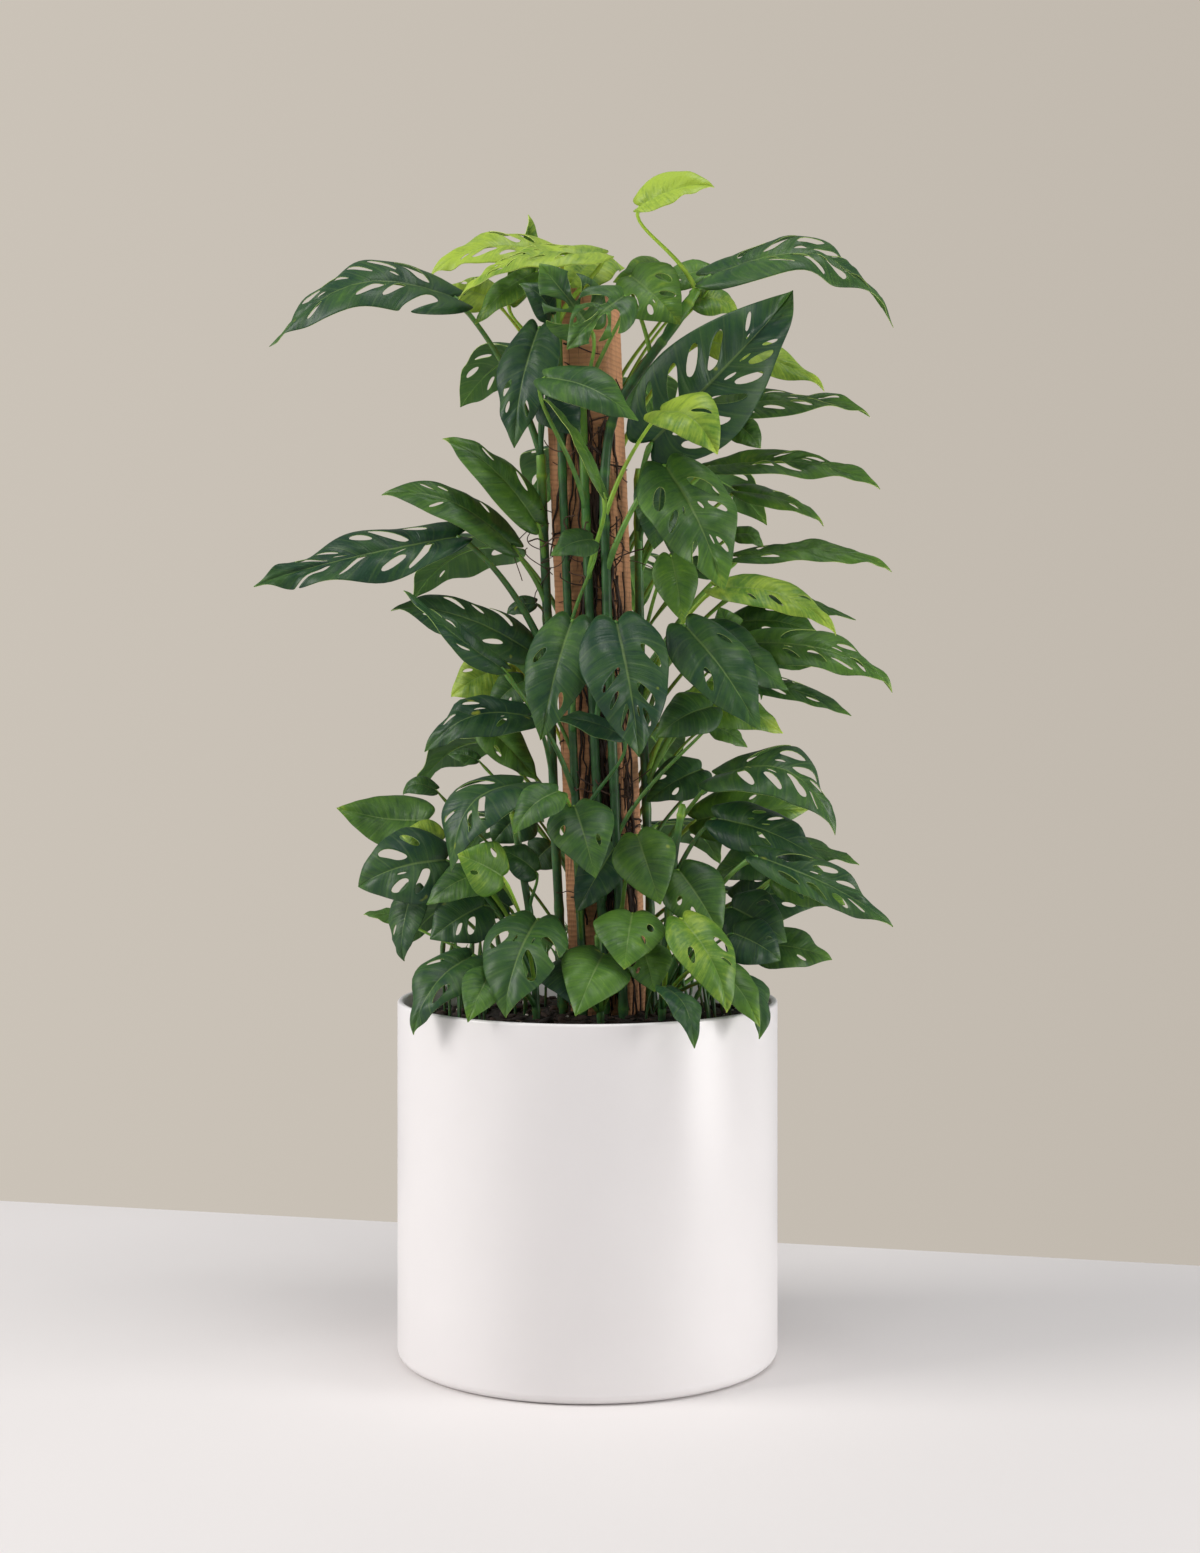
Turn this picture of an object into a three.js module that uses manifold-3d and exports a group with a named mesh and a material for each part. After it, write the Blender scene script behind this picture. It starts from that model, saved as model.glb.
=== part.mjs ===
// A swiss cheese vine trained up a sawn hardwood stake, in a plain white cylinder pot.
// Millimetres, +Z up. The origin is the centre of the pot's underside, and the front of the plant faces -Y.
import * as THREE from 'three';
import { mergeVertices } from 'three/addons/utils/BufferGeometryUtils.js';
import Module from 'manifold-3d';

const wasm = await Module();
wasm.setup();

// Driving dimensions
const POT = { radius: 150, height: 280, wall: 5, floor: 10, footRound: 8, lipRound: 2, sides: 48 };
const SOIL = { top: 268, hump: 6, gap: 1.5, seat: 0.3, rings: 3, sides: 32 };
const STAKE = { side: 50, foot: [26, 15, 60], head: [-5, 15, 841], turn: -16 };
const STEM_HOLE = { gap: 1, depth: 100, sides: 8 };
const BLADE = { thickness: 0.8, sweep: 0.64, lobe: 0.07, fold: 14, droop: 20 };
const PETIOLE = { headWidth: 2.6, footRadius: 2.1, shortest: 15, rise: 1.15 };
const FOOT_MARGIN = { aboveSoil: 8, belowTop: 2 };

const potWhite = new THREE.MeshStandardMaterial({ color: 0xe9e4e2, roughness: 0.45, metalness: 0 });
const pottingMix = new THREE.MeshStandardMaterial({ color: 0x2b211b, roughness: 1, metalness: 0 });
const hardwood = new THREE.MeshStandardMaterial({ color: 0xb07a55, roughness: 0.85, metalness: 0 });
const leafGreen = new THREE.MeshStandardMaterial({ color: 0x2f5f33, roughness: 0.45, metalness: 0 });

const degrees = THREE.MathUtils.degToRad;
const vector = (p) => new THREE.Vector3(...p);

// Each leafy stem: the line that it climbs, and its leaves. A leaf is one row, written by eye:
// base x, y, z | tip x, y, z | width | lean of its face from straight up | compass turn of that lean, 0 towards
// the front and 90 to the right | rise of the midrib over its chord | holes on each side | fold, if it differs
const VINES = {
  vine_left: {
    stem: [[-19, 0, 200], [-19, 0, 275], [-25, 0, 400], [-31, 0, 560], [-35, -1, 660], [-37, -4, 712]],
    radius: 4,
    leaves: [
      [-105, -10, 834, -248, -25, 792, 74, 42, 0, 0.24, 4],
      [-38, -36, 806, -57, -54, 711, 50, 80, -25, 0.08, 2],
      [-28, -44, 815, -52, -58, 838, 30, 60, 0, 0.2, 0],
      [-40, -14, 656, -112, -25, 724, 46, 42, 0, 0.1, 2],
      [-59, -10, 638, -163, -15, 681, 46, 38, 0, 0.15, 2],
      [-103, -15, 645, -261, -30, 607, 60, 42, 0, 0.02, 4],
      [-46, -4, 556, -155, -12, 592, 56, 44, 0, 0.1, 2],
      [-44, -28, 504, -128, -40, 477, 46, 42, 0, 0.22, 3],
    ],
  },
  vine_front_left: {
    stem: [[-3, -12, 200], [-3, -12, 275], [-8, -12, 400], [-16, -12, 600], [-22, -13, 760], [-24, -14, 835]],
    radius: 3.6,
    leaves: [
      [10, -18, 866, -103, -32, 832, 60, 25, 0, 0.12, 2],
      [-41, -14, 853, -88, -18, 811, 32, 40, 0, 0.1, 0],
      [-32, -26, 752, -6, -36, 722, 36, 75, 0, 0.1, 0],
      [-12, -75, 577, -35, -100, 487, 54, 86, -15, 0.08, 1],
      [-66, -64, 542, -139, -68, 602, 36, 22, 0, -0.04, 1],
      [-50, -6, 532, -76, -10, 508, 34, 50, 0, 0.12, 1],
      [26, -55, 490, -27, -66, 503, 42, 24, 0, 0.08, 0],
      [4, -60, 640, -28, -74, 627, 30, 60, 0, 0.16, 0],
      [-10, -88, 437, 6, -122, 385, 52, 72, 0, 0.2, 1],
      [-22, -106, 449, -56, -118, 418, 34, 50, 0, 0.22, 0],
    ],
  },
  vine_front_mid: {
    stem: [[14, -18, 200], [14, -18, 275], [9, -18, 400], [1, -18, 600], [-5, -19, 770]],
    radius: 3.8,
    leaves: [
      [3, -56, 802, -37, -72, 850, 52, 62, -20, 0.06, 2],
      [28, -68, 826, -16, -86, 783, 46, 60, 20, 0.14, 2],
      [-32, -84, 762, 38, -100, 727, 44, 52, 0, 0.14, 1],
      [12, -62, 676, -32, -68, 750, 26, 40, 60, 0.05, 0],
      [22, -82, 576, 39, -112, 475, 70, 86, 10, 0.08, 4],
      [20, -50, 402, -9, -66, 354, 36, 74, 0, 0.08, 1],
      [6, -38, 411, 18, -48, 432, 18, 60, 0, 0.06, 0],
    ],
  },
  vine_front_right: {
    stem: [[28, -23, 200], [28, -23, 275], [23, -23, 400], [15, -23, 600], [14, -25, 700],
      [22, -28, 742], [46, -28, 780], [70, -27, 812], [86, -25, 838]],
    radius: 4,
    leaves: [
      [41, -22, 903, 98, -38, 918, 46, 44, 0, 0.08, 0, 30],
      [97, -24, 849, 244, -10, 812, 68, 36, 0, 0.26, 4],
      [34, -25, 848, 72, -44, 808, 56, 78, 0, 0.1, 3],
      [56, -62, 738, 99, -92, 703, 54, 44, 0, 0.24, 3, 26],
      [60, -58, 697, 103, -100, 600, 72, 80, 15, 0.1, 4],
      [75, -60, 574, 130, -90, 494, 60, 76, 20, 0.08, 2],
      [97, -45, 512, 52, -58, 488, 42, 58, 0, 0.16, 0],
      [38, -72, 414, 55, -94, 363, 50, 62, -10, 0.16, 1],
    ],
  },
  vine_right: {
    stem: [[52, 8, 200], [52, 8, 275], [48, 8, 400], [42, 8, 560], [40, 6, 700]],
    radius: 3.8,
    leaves: [
      [50, -38, 717, 161, -60, 831, 86, 86, 15, 0.05, 4],
      [103, 10, 750, 225, 0, 748, 44, 36, 0, 0.05, 3],
      [98, 8, 702, 234, 0, 688, 44, 28, 0, 0.08, 3],
      [58, -22, 692, 52, -32, 634, 42, 80, 10, 0.06, 1],
      [74, -6, 670, 74, -22, 620, 36, 84, 0, 0.06, 0],
      [122, 2, 630, 242, -6, 622, 40, 24, 0, 0.08, 2],
      [101, -25, 605, 195, -50, 570, 42, 38, 0, 0.14, 2],
      [65, -42, 628, 73, -56, 577, 36, 84, 10, 0.06, 1],
      [80, -35, 568, 155, -48, 524, 50, 58, 0, 0.12, 1],
      [130, -18, 562, 242, -32, 528, 50, 42, 0, 0.12, 3],
      [80, -18, 516, 153, -14, 490, 48, 46, 0, 0.16, 0],
      [101, -30, 458, 194, -62, 415, 78, 50, 35, 0.3, 4],
      [91, 14, 461, 46, -8, 436, 44, 58, 0, 0.1, 2],
    ],
  },
  vine_back_right: {
    stem: [[38, 50, 200], [38, 50, 275], [33, 50, 400], [25, 50, 600], [18, 49, 760], [16, 48, 822]],
    radius: 3.6,
    leaves: [
      [95, 30, 806, 192, 20, 768, 40, 50, 0, 0.04, 0],
      [66, 4, 846, 20, -8, 846, 44, 58, 0, 0.26, 0],
      [84, 22, 838, 122, 26, 828, 44, 44, 0, 0.14, 1],
      [94, 14, 858, 46, 34, 840, 40, 44, 0, 0.12, 2],
      [118, 32, 738, 139, 28, 718, 28, 60, 0, 0.16, 0],
      [121, 30, 684, 193, 38, 659, 34, 32, 0, 0.08, 1],
      [118, 38, 650, 143, 46, 640, 26, 40, 0, 0.2, 0],
      [120, 28, 602, 216, 36, 580, 34, 22, 0, 0.06, 1],
      [83, 30, 618, 104, 52, 628, 32, 44, 0, 0.1, 0],
      [112, 14, 568, 104, 2, 590, 28, 70, 0, 0.24, 0],
      [118, 30, 578, 188, 22, 566, 46, 48, 0, 0.14, 2],
      [120, 24, 550, 206, 22, 543, 32, 34, 0, 0.06, 1],
      [120, 32, 534, 213, 34, 504, 32, 32, 0, 0.06, 2],
      [98, 22, 496, 128, 26, 478, 24, 40, 0, 0.1, 0],
      [87, 24, 420, 178, 30, 428, 46, 66, 0, 0.1, 1],
      [34, 92, 782, 64, 182, 745, 66, 55, 170, 0.16, 2],
      [76, 72, 700, 152, 132, 664, 62, 55, 150, 0.16, 2],
      [30, 98, 632, 44, 192, 590, 68, 58, 180, 0.14, 2],
      [80, 78, 560, 152, 142, 520, 62, 55, 140, 0.16, 2],
      [42, 98, 490, 72, 182, 448, 62, 58, 170, 0.14, 0],
    ],
  },
  vine_back_left: {
    stem: [[-5, 57, 200], [-5, 57, 275], [-10, 57, 400], [-18, 57, 600], [-24, 57, 760], [-28, 56, 828]],
    radius: 3.6,
    leaves: [
      [-24, 28, 874, -128, 18, 858, 58, 34, 0, 0.14, 2],
      [-64, 60, 842, -46, 54, 903, 34, 88, 75, 0.03, 0],
      [-14, 64, 856, 30, 92, 872, 54, 35, 0, 0.28, 0],
      [-76, 26, 838, -124, 42, 846, 46, 48, 0, 0.1, 2],
      [-64, 20, 545, -110, 14, 520, 46, 68, 0, 0.08, 2],
      [-84, 24, 498, -40, 16, 452, 34, 60, 0, 0.08, 1],
      [-42, 36, 594, -66, 42, 586, 24, 40, 0, 0.12, 0],
      [-122, 30, 444, -150, 36, 440, 22, 40, 0, 0.3, 0],
      [-88, 28, 468, -112, 34, 472, 18, 40, 0, 0.1, 0],
      [-50, 26, 428, -76, 16, 402, 44, 68, 0, 0.1, 1],
      [-30, 40, 398, -46, 42, 380, 34, 60, 0, 0.1, 0],
      [-42, 84, 800, -108, 142, 764, 68, 55, -150, 0.16, 2],
      [-14, 100, 722, -44, 192, 680, 68, 58, -170, 0.14, 2],
      [-64, 72, 642, -148, 124, 602, 66, 55, -145, 0.16, 2],
      [-24, 98, 562, -56, 186, 520, 66, 58, -170, 0.14, 2],
      [-70, 78, 482, -146, 132, 440, 62, 55, -145, 0.16, 0],
    ],
  },
  shoot_left: {
    stem: [[-40, -30, 200], [-40, -30, 275], [-44, -30, 340], [-52, -32, 392], [-58, -34, 430]],
    radius: 3.2,
    leaves: [
      [-50, -50, 453, -104, -82, 387, 78, 52, -40, 0.28, 4],
      [-127, 4, 421, -199, 10, 431, 50, 56, 0, -0.1, 0],
      [-110, -32, 392, -180, -42, 372, 68, 62, 0, 0.16, 3],
      [-114, -14, 406, -146, -18, 410, 32, 60, 0, 0.12, 0],
      [-64, -94, 384, -97, -110, 402, 44, 68, 0, 0.1, 1],
      [-40, -44, 384, -70, -50, 402, 32, 50, 0, 0.12, 0],
      [-76, -52, 384, -123, -64, 360, 38, 42, 0, 0.14, 0],
      [-136, -28, 370, -145, -40, 314, 38, 80, -40, 0.06, 2],
      [-147, 2, 344, -178, 8, 347, 22, 24, 0, 0.04, 0],
      [-80, -46, 358, -121, -58, 333, 50, 60, 0, 0.1, 1],
      [-62, -14, 354, -100, -8, 370, 36, 52, 0, 0.12, 0],
      [-88, -75, 322, -133, -112, 268, 48, 62, -20, 0.2, 2],
    ],
  },
  shoot_front: {
    stem: [[10, -64, 200], [10, -64, 275], [9, -64, 310], [8, -65, 338]],
    radius: 3,
    leaves: [
      [34, -90, 356, 27, -130, 318, 56, 56, 0, 0.14, 1],
      [-38, -95, 352, -63, -138, 284, 66, 72, -15, 0.14, 4],
      [-72, -108, 314, -88, -144, 282, 34, 72, 0, 0.12, 0],
      [-14, -92, 320, -4, -130, 288, 50, 60, 0, 0.14, 1],
      [12, -98, 326, -9, -146, 286, 54, 74, 0, 0.16, 0],
      [42, -92, 330, 50, -118, 300, 40, 74, 0, 0.12, 1],
    ],
  },
  shoot_right: {
    stem: [[58, -34, 200], [58, -34, 275], [62, -36, 340], [68, -38, 400], [74, -40, 436]],
    radius: 3.2,
    leaves: [
      [100, -38, 425, 184, -50, 390, 48, 52, 0, 0.12, 2],
      [130, -72, 398, 235, -70, 345, 40, 46, 0, 0.06, 1],
      [150, -14, 396, 98, -22, 378, 42, 52, 0, 0.1, 1],
      [148, -34, 379, 199, -44, 358, 40, 54, 0, 0.12, 0],
      [70, -70, 387, 101, -86, 339, 50, 70, 0, 0.12, 1],
      [71, -104, 353, 106, -134, 287, 48, 70, 20, 0.14, 2],
      [58, -122, 304, 78, -168, 266, 28, 74, 30, 0.16, 0],
      [86, -86, 318, 128, -128, 276, 38, 66, 25, 0.18, 0],
      [108, -78, 310, 130, -122, 266, 36, 70, 40, 0.2, 0],
      [130, -20, 325, 192, -22, 314, 42, 52, 0, 0.1, 1],
      [112, -40, 356, 154, -50, 330, 52, 62, 0, 0.1, 1],
      [112, -62, 338, 148, -70, 318, 42, 60, 0, 0.12, 0],
    ],
  },
  shoot_back: {
    stem: [[8, 84, 200], [8, 84, 275], [6, 86, 340], [6, 86, 400]],
    radius: 3.2,
    leaves: [
      [118, 22, 356, 195, 22, 358, 48, 56, 0, 0.12, 2],
      [148, 18, 402, 218, 22, 385, 28, 30, 0, 0.06, 0],
      [-50, 92, 418, -108, 150, 380, 60, 55, -150, 0.16, 2],
      [0, 116, 398, 0, 196, 356, 62, 58, 180, 0.16, 2],
      [58, 104, 412, 114, 162, 376, 58, 55, 145, 0.16, 2],
      [-82, 62, 352, -150, 102, 312, 58, 56, -130, 0.16, 1],
      [92, 64, 358, 164, 98, 330, 56, 56, 120, 0.16, 0],
      [-34, 112, 328, -52, 172, 276, 52, 62, -165, 0.2, 0],
      [38, 112, 324, 54, 172, 278, 52, 62, 165, 0.2, 1],
    ],
  },
};

// A closed three.js geometry as a solid that can be cut and joined
function solidOf(geometry) {
  const bare = geometry.index ? geometry.toNonIndexed() : geometry;
  const positions = new THREE.BufferGeometry().setAttribute('position', bare.getAttribute('position'));
  const merged = mergeVertices(positions, 1e-3);
  return new wasm.Manifold(new wasm.Mesh({
    numProp: 3,
    vertProperties: merged.attributes.position.array,
    triVerts: new Uint32Array(merged.index.array),
  }));
}

// A solid back as a three.js geometry
function geometryOf(solid) {
  const { numVert, numProp, vertProperties, triVerts } = solid.getMesh();
  const points = Array.from({ length: numVert }, (_, i) => (
    new THREE.Vector3(...vertProperties.subarray(i * numProp, i * numProp + 3))));
  const geometry = new THREE.BufferGeometry().setFromPoints(points);
  geometry.setIndex([...triVerts]);
  geometry.computeVertexNormals();
  return geometry;
}

// Pot: one moulded shell, turned about its axis
function potGeometry() {
  const { radius, height, wall, floor, footRound, lipRound, sides } = POT;
  const inner = radius - wall;
  const arc = (x, y, r, from, to) => (
    new THREE.EllipseCurve(x, y, r, r, degrees(from), degrees(to)).getPoints(2));
  const profile = [
    new THREE.Vector2(0, 0),
    ...arc(radius - footRound, footRound, footRound, -90, 0),
    ...arc(radius - lipRound, height - lipRound, lipRound, 0, 90),
    ...arc(inner + lipRound, height - lipRound, lipRound, 90, 180),
    new THREE.Vector2(inner, floor),
    new THREE.Vector2(0, floor),
  ];
  return new THREE.LatheGeometry(profile, sides).rotateX(Math.PI / 2);
}

// Stake: a square post, level at both ends, that leans from its foot to its head
function stakeGeometry(grow = 0) {
  const foot = vector(STAKE.foot);
  const head = vector(STAKE.head);
  const side = STAKE.side + 2 * grow;
  const length = head.z - foot.z + 2 * grow;
  const middle = foot.clone().lerp(head, 0.5);
  const lean = (head.x - foot.x) / (head.z - foot.z);
  const leaning = new THREE.Matrix4().makeShear(0, 0, 0, 0, lean, 0);
  return new THREE.BoxGeometry(side, side, length)
    .rotateZ(degrees(STAKE.turn))
    .applyMatrix4(leaning)
    .translate(middle.x, middle.y, middle.z);
}

// Stem: a six-sided tube along a smooth line, upright where it stands in the soil
function stemCurve(vine) {
  return new THREE.CatmullRomCurve3(vine.stem.map(vector));
}

function stemGeometry(vine) {
  const corners = Array.from({ length: 6 }, (_, i) => (
    new THREE.Vector2(vine.radius, 0).rotateAround(new THREE.Vector2(), (i * Math.PI) / 3)));
  return new THREE.ExtrudeGeometry(new THREE.Shape(corners), {
    steps: vine.stem.length,
    extrudePath: stemCurve(vine),
    bevelEnabled: false,
  });
}

// The point of a stem at a height
function stemPointAt(curve, height) {
  let low = 0;
  let high = 1;
  for (let i = 0; i < 24; i += 1) {
    const middle = (low + high) / 2;
    if (curve.getPoint(middle).z < height) low = middle;
    else high = middle;
  }
  return curve.getPoint(low);
}

// Leaf: its own axes, from its row
function leafFrame(row) {
  const [bx, by, bz, tx, ty, tz, width, leanAngle, compassAngle, bow, holes, fold = BLADE.fold] = row;
  const base = new THREE.Vector3(bx, by, bz);
  const chord = new THREE.Vector3(tx, ty, tz).sub(base);
  const length = chord.length();
  chord.normalize();
  const lean = degrees(leanAngle);
  const compass = degrees(compassAngle);
  const face = new THREE.Vector3(
    Math.sin(lean) * Math.sin(compass), -Math.sin(lean) * Math.cos(compass), Math.cos(lean));
  const normal = face.addScaledVector(chord, -face.dot(chord)).normalize();
  const side = new THREE.Vector3().crossVectors(chord, normal);
  return { base, chord, normal, side, length, width, bow, holes, fold };
}

// Half of the blade's width where a vein that leaves the midrib at s meets the margin, as a share of its widest
function marginHalf(s) {
  return (1 - s) ** 1.25 * (0.61 + 1.11 * (1 - Math.exp(-s / 0.2)));
}

// Flat blade: the point at share s along the midrib, and at share t of the way along the vein to the margin
function flatPoint(leaf, s, t) {
  const backLobe = BLADE.lobe * Math.sin(Math.PI * t) * (1 - s) ** 4;
  const along = s + BLADE.sweep * s * (1 - s) * t - backLobe;
  return new THREE.Vector2(leaf.length * along, (leaf.width / 2) * marginHalf(s) * t);
}

// That point on the arched, folded blade, on the side that sign gives, lifted off the blade's middle
function leafPoint(leaf, s, t, sign, lift) {
  const flat = flatPoint(leaf, s, t);
  const turn = Math.PI * (flat.x / leaf.length);
  const up = leaf.normal.clone().addScaledVector(leaf.chord, -Math.PI * leaf.bow * Math.cos(turn)).normalize();
  const fold = degrees(leaf.fold - BLADE.droop * t * t);
  const outward = leaf.side.clone().multiplyScalar(sign);
  return leaf.base.clone()
    .addScaledVector(leaf.chord, flat.x)
    .addScaledVector(leaf.normal, leaf.length * leaf.bow * Math.sin(turn))
    .addScaledVector(outward, flat.y * Math.cos(fold) - lift * (t ? Math.sin(fold) : 0))
    .addScaledVector(up, flat.y * Math.sin(fold) + lift * Math.cos(fold));
}

// Corners in s and t of one half of a blade, and of the slots between its side veins
const MIDRIB = [[0.4, 0], [0.75, 0], [1, 0]];
const MARGIN = [[0.75, 1], [0.5, 1], [0.26, 1], [0.08, 1], [0, 0.78]];

// Those corners again, by number from the base, in bands across the blade, so that no face bridges its arch. The
// first band holds the first slot, and the second band holds the second.
const BANDS = {
  oneSlot: [[0, 1, 5, 6, 7, 8], [1, 2, 4, 5], [2, 3, 4]],
  twoSlots: [[0, 1, 6, 7, 8], [1, 2, 4, 5, 6], [2, 3, 4]],
};

function slotsOf(leaf) {
  const spans = { 0: [], 1: [[0.2, 0.42]], 2: [[0.2, 0.42]], 3: [[0.1, 0.26], [0.38, 0.58]] };
  return spans[Math.min(leaf.holes, 3)].map(([from, to]) => [
    [from + 0.02, 0.3], [to - 0.04, 0.24], [to, 0.72], [from + 0.05, 0.78]]);
}

// Blade and petiole as one closed mesh. The petiole is a three-sided tube that opens out into the blade's base.
function leafGeometry(leaf, curve) {
  const points = [];
  const triangles = [];
  const add = (point) => points.push(point) - 1;
  const pair = (s, t, sign) => [BLADE.thickness / 2, -BLADE.thickness / 2].map((lift) => (
    add(leafPoint(leaf, s, t, sign, lift))));
  const midrib = MIDRIB.map(([s, t]) => pair(s, t, 1));
  const under = add(leafPoint(leaf, 0, 0, 1, -PETIOLE.headWidth / 2));
  const nearT = PETIOLE.headWidth / (leaf.width * marginHalf(0));
  const shoulders = [1, -1].map((sign) => add(leafPoint(leaf, 0, nearT, sign, BLADE.thickness / 2)));

  [1, -1].forEach((sign, half) => {
    const slots = slotsOf(leaf);
    const outline = [[0, nearT], ...MIDRIB, ...MARGIN];
    const corners = [...outline, ...slots.flat()];
    const flats = corners.map(([s, t]) => flatPoint(leaf, s, t));
    const rim = [[shoulders[half], under], ...midrib, ...MARGIN.map(([s, t]) => pair(s, t, sign))];
    const slotRims = slots.map((slot) => slot.map(([s, t]) => pair(s, t, sign)));
    const pairs = [...rim, ...slotRims.flat()];

    // The two faces are split into the same triangles.
    (slots.length > 1 ? BANDS.twoSlots : BANDS.oneSlot).forEach((band, i) => {
      const slot = (slots[i] ?? []).map((_, k) => outline.length + i * slots[i].length + k);
      const places = [...band, ...slot];
      const flatsOf = (list) => list.map((k) => flats[k]);
      const faces = THREE.ShapeUtils.triangulateShape(flatsOf(band), slot.length ? [flatsOf(slot)] : []);
      for (const [a, b, c] of faces.map((face) => face.map((k) => places[k]))) {
        const turn = flats[b].clone().sub(flats[a]).cross(flats[c].clone().sub(flats[a]));
        const [p, q, r] = turn * sign < 0 ? [a, b, c] : [a, c, b];
        triangles.push([pairs[p][0], pairs[q][0], pairs[r][0]], [pairs[r][1], pairs[q][1], pairs[p][1]]);
      }
    });

    // Edge walls run from the tip back round the margin, and backwards round each slot.
    const wall = (from, to) => {
      const [p, q] = sign > 0 ? [to, from] : [from, to];
      if (p[1] !== q[1]) triangles.push([p[0], p[1], q[1]]);
      triangles.push([p[0], q[1], q[0]]);
    };
    const margin = [...rim.slice(MIDRIB.length), rim[0]];
    margin.slice(1).forEach((to, i) => wall(margin[i], to));
    for (const slot of slotRims) slot.forEach((to, i) => wall(slot[(i + 1) % slot.length], to));
  });
  triangles.push([shoulders[0], midrib[0][0], shoulders[1]]);

  let ring = [...shoulders, under];
  for (const section of petioleSections(leaf, curve)) {
    const next = section.map(add);
    for (let k = 0; k < 3; k += 1) {
      const l = (k + 1) % 3;
      triangles.push([next[l], next[k], ring[k]], [ring[l], next[l], ring[k]]);
    }
    ring = next;
  }
  triangles.push(ring);

  const geometry = new THREE.BufferGeometry().setFromPoints(points);
  geometry.setIndex(triangles.flat());
  return geometry;
}

// Petiole: it leaves the stem lower than the blade, by more the further out the blade is
function petioleFoot(leaf, curve) {
  const lowest = SOIL.top + FOOT_MARGIN.aboveSoil;
  const highest = curve.getPoint(1).z - FOOT_MARGIN.belowTop;
  let foot = stemPointAt(curve, THREE.MathUtils.clamp(leaf.base.z - PETIOLE.shortest, lowest, highest));
  for (let i = 0; i < 3; i += 1) {
    const out = Math.hypot(leaf.base.x - foot.x, leaf.base.y - foot.y);
    const height = leaf.base.z - PETIOLE.shortest - PETIOLE.rise * out;
    foot = stemPointAt(curve, THREE.MathUtils.clamp(height, lowest, highest));
  }
  return foot;
}

// The petiole's line rises steeply off the stem, then levels out into the blade.
function petiolePath(leaf, foot) {
  const reach = foot.distanceTo(leaf.base);
  const entry = leaf.chord.clone().addScaledVector(leaf.normal, Math.PI * leaf.bow).normalize();
  const up = new THREE.Vector3(0, 0, reach);
  const nearBlade = leaf.base.clone().addScaledVector(entry, -0.18 * reach).addScaledVector(up, -0.12);
  const nearStem = foot.clone().lerp(leaf.base, 0.25).addScaledVector(up, 0.2);
  return new THREE.CubicBezierCurve3(leaf.base, nearBlade, nearStem, foot);
}

// Three-cornered sections from just behind the blade to the middle of the stem
function petioleSections(leaf, curve) {
  const path = petiolePath(leaf, petioleFoot(leaf, curve));
  const steps = path.getLength() > 55 ? 3 : 2;
  const across = leaf.side.clone();
  return Array.from({ length: steps }, (_, i) => {
    const share = (i + 1) / steps;
    const along = path.getTangent(share);
    across.addScaledVector(along, -across.dot(along)).normalize();
    const above = new THREE.Vector3().crossVectors(along, across);
    const radius = THREE.MathUtils.lerp(PETIOLE.headWidth / 2, PETIOLE.footRadius, share);
    return [30, 150, 270].map((angle) => path.getPoint(share)
      .addScaledVector(across, radius * Math.cos(degrees(angle)))
      .addScaledVector(above, radius * Math.sin(degrees(angle))));
  });
}

// Vine: a stem with all its leaves joined on
function vineSolid(vine) {
  const curve = stemCurve(vine);
  const leaves = vine.leaves.map((row) => solidOf(leafGeometry(leafFrame(row), curve)));
  return wasm.Manifold.union([solidOf(stemGeometry(vine)), ...leaves]);
}

// Potting mix: a packed cylinder, humped in the middle, with a plain hole for each stem and for the stake
function soilSolid() {
  const { top, hump, gap, seat, rings, sides } = SOIL;
  const radius = POT.radius - POT.wall - gap;
  const bottom = POT.floor + seat;
  const profile = [new THREE.Vector2(0, bottom), new THREE.Vector2(radius, bottom)];
  for (let i = rings; i >= 0; i -= 1) {
    const out = i / rings;
    profile.push(new THREE.Vector2(radius * out, top - hump * out ** 3));
  }
  const body = solidOf(new THREE.LatheGeometry(profile, sides).rotateX(Math.PI / 2));
  const stemHoles = Object.values(VINES).map((vine) => {
    const [x, y, foot] = vine.stem[0];
    const holeRadius = vine.radius + STEM_HOLE.gap;
    return solidOf(new THREE.CylinderGeometry(holeRadius, holeRadius, STEM_HOLE.depth, STEM_HOLE.sides)
      .rotateX(Math.PI / 2)
      .translate(x, y, foot - seat + STEM_HOLE.depth / 2));
  });
  return body.subtract(wasm.Manifold.union([...stemHoles, solidOf(stakeGeometry(seat))]));
}

function meshOf(name, solid, material) {
  const mesh = new THREE.Mesh(geometryOf(solid), material);
  mesh.name = name;
  return mesh;
}

const pottedVine = new THREE.Group();
pottedVine.add(meshOf('pot', solidOf(potGeometry()), potWhite));
pottedVine.add(meshOf('potting_mix', soilSolid(), pottingMix));
pottedVine.add(meshOf('stake', solidOf(stakeGeometry()), hardwood));
for (const [name, vine] of Object.entries(VINES)) pottedVine.add(meshOf(name, vineSolid(vine), leafGreen));

export default pottedVine;
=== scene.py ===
# A potted swiss cheese vine on a sawn timber stake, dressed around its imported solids. Metres, +Z up.
import math
import random
from functools import partial

import bmesh
import bpy
import numpy as np
from mathutils import Matrix, Vector, noise


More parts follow.
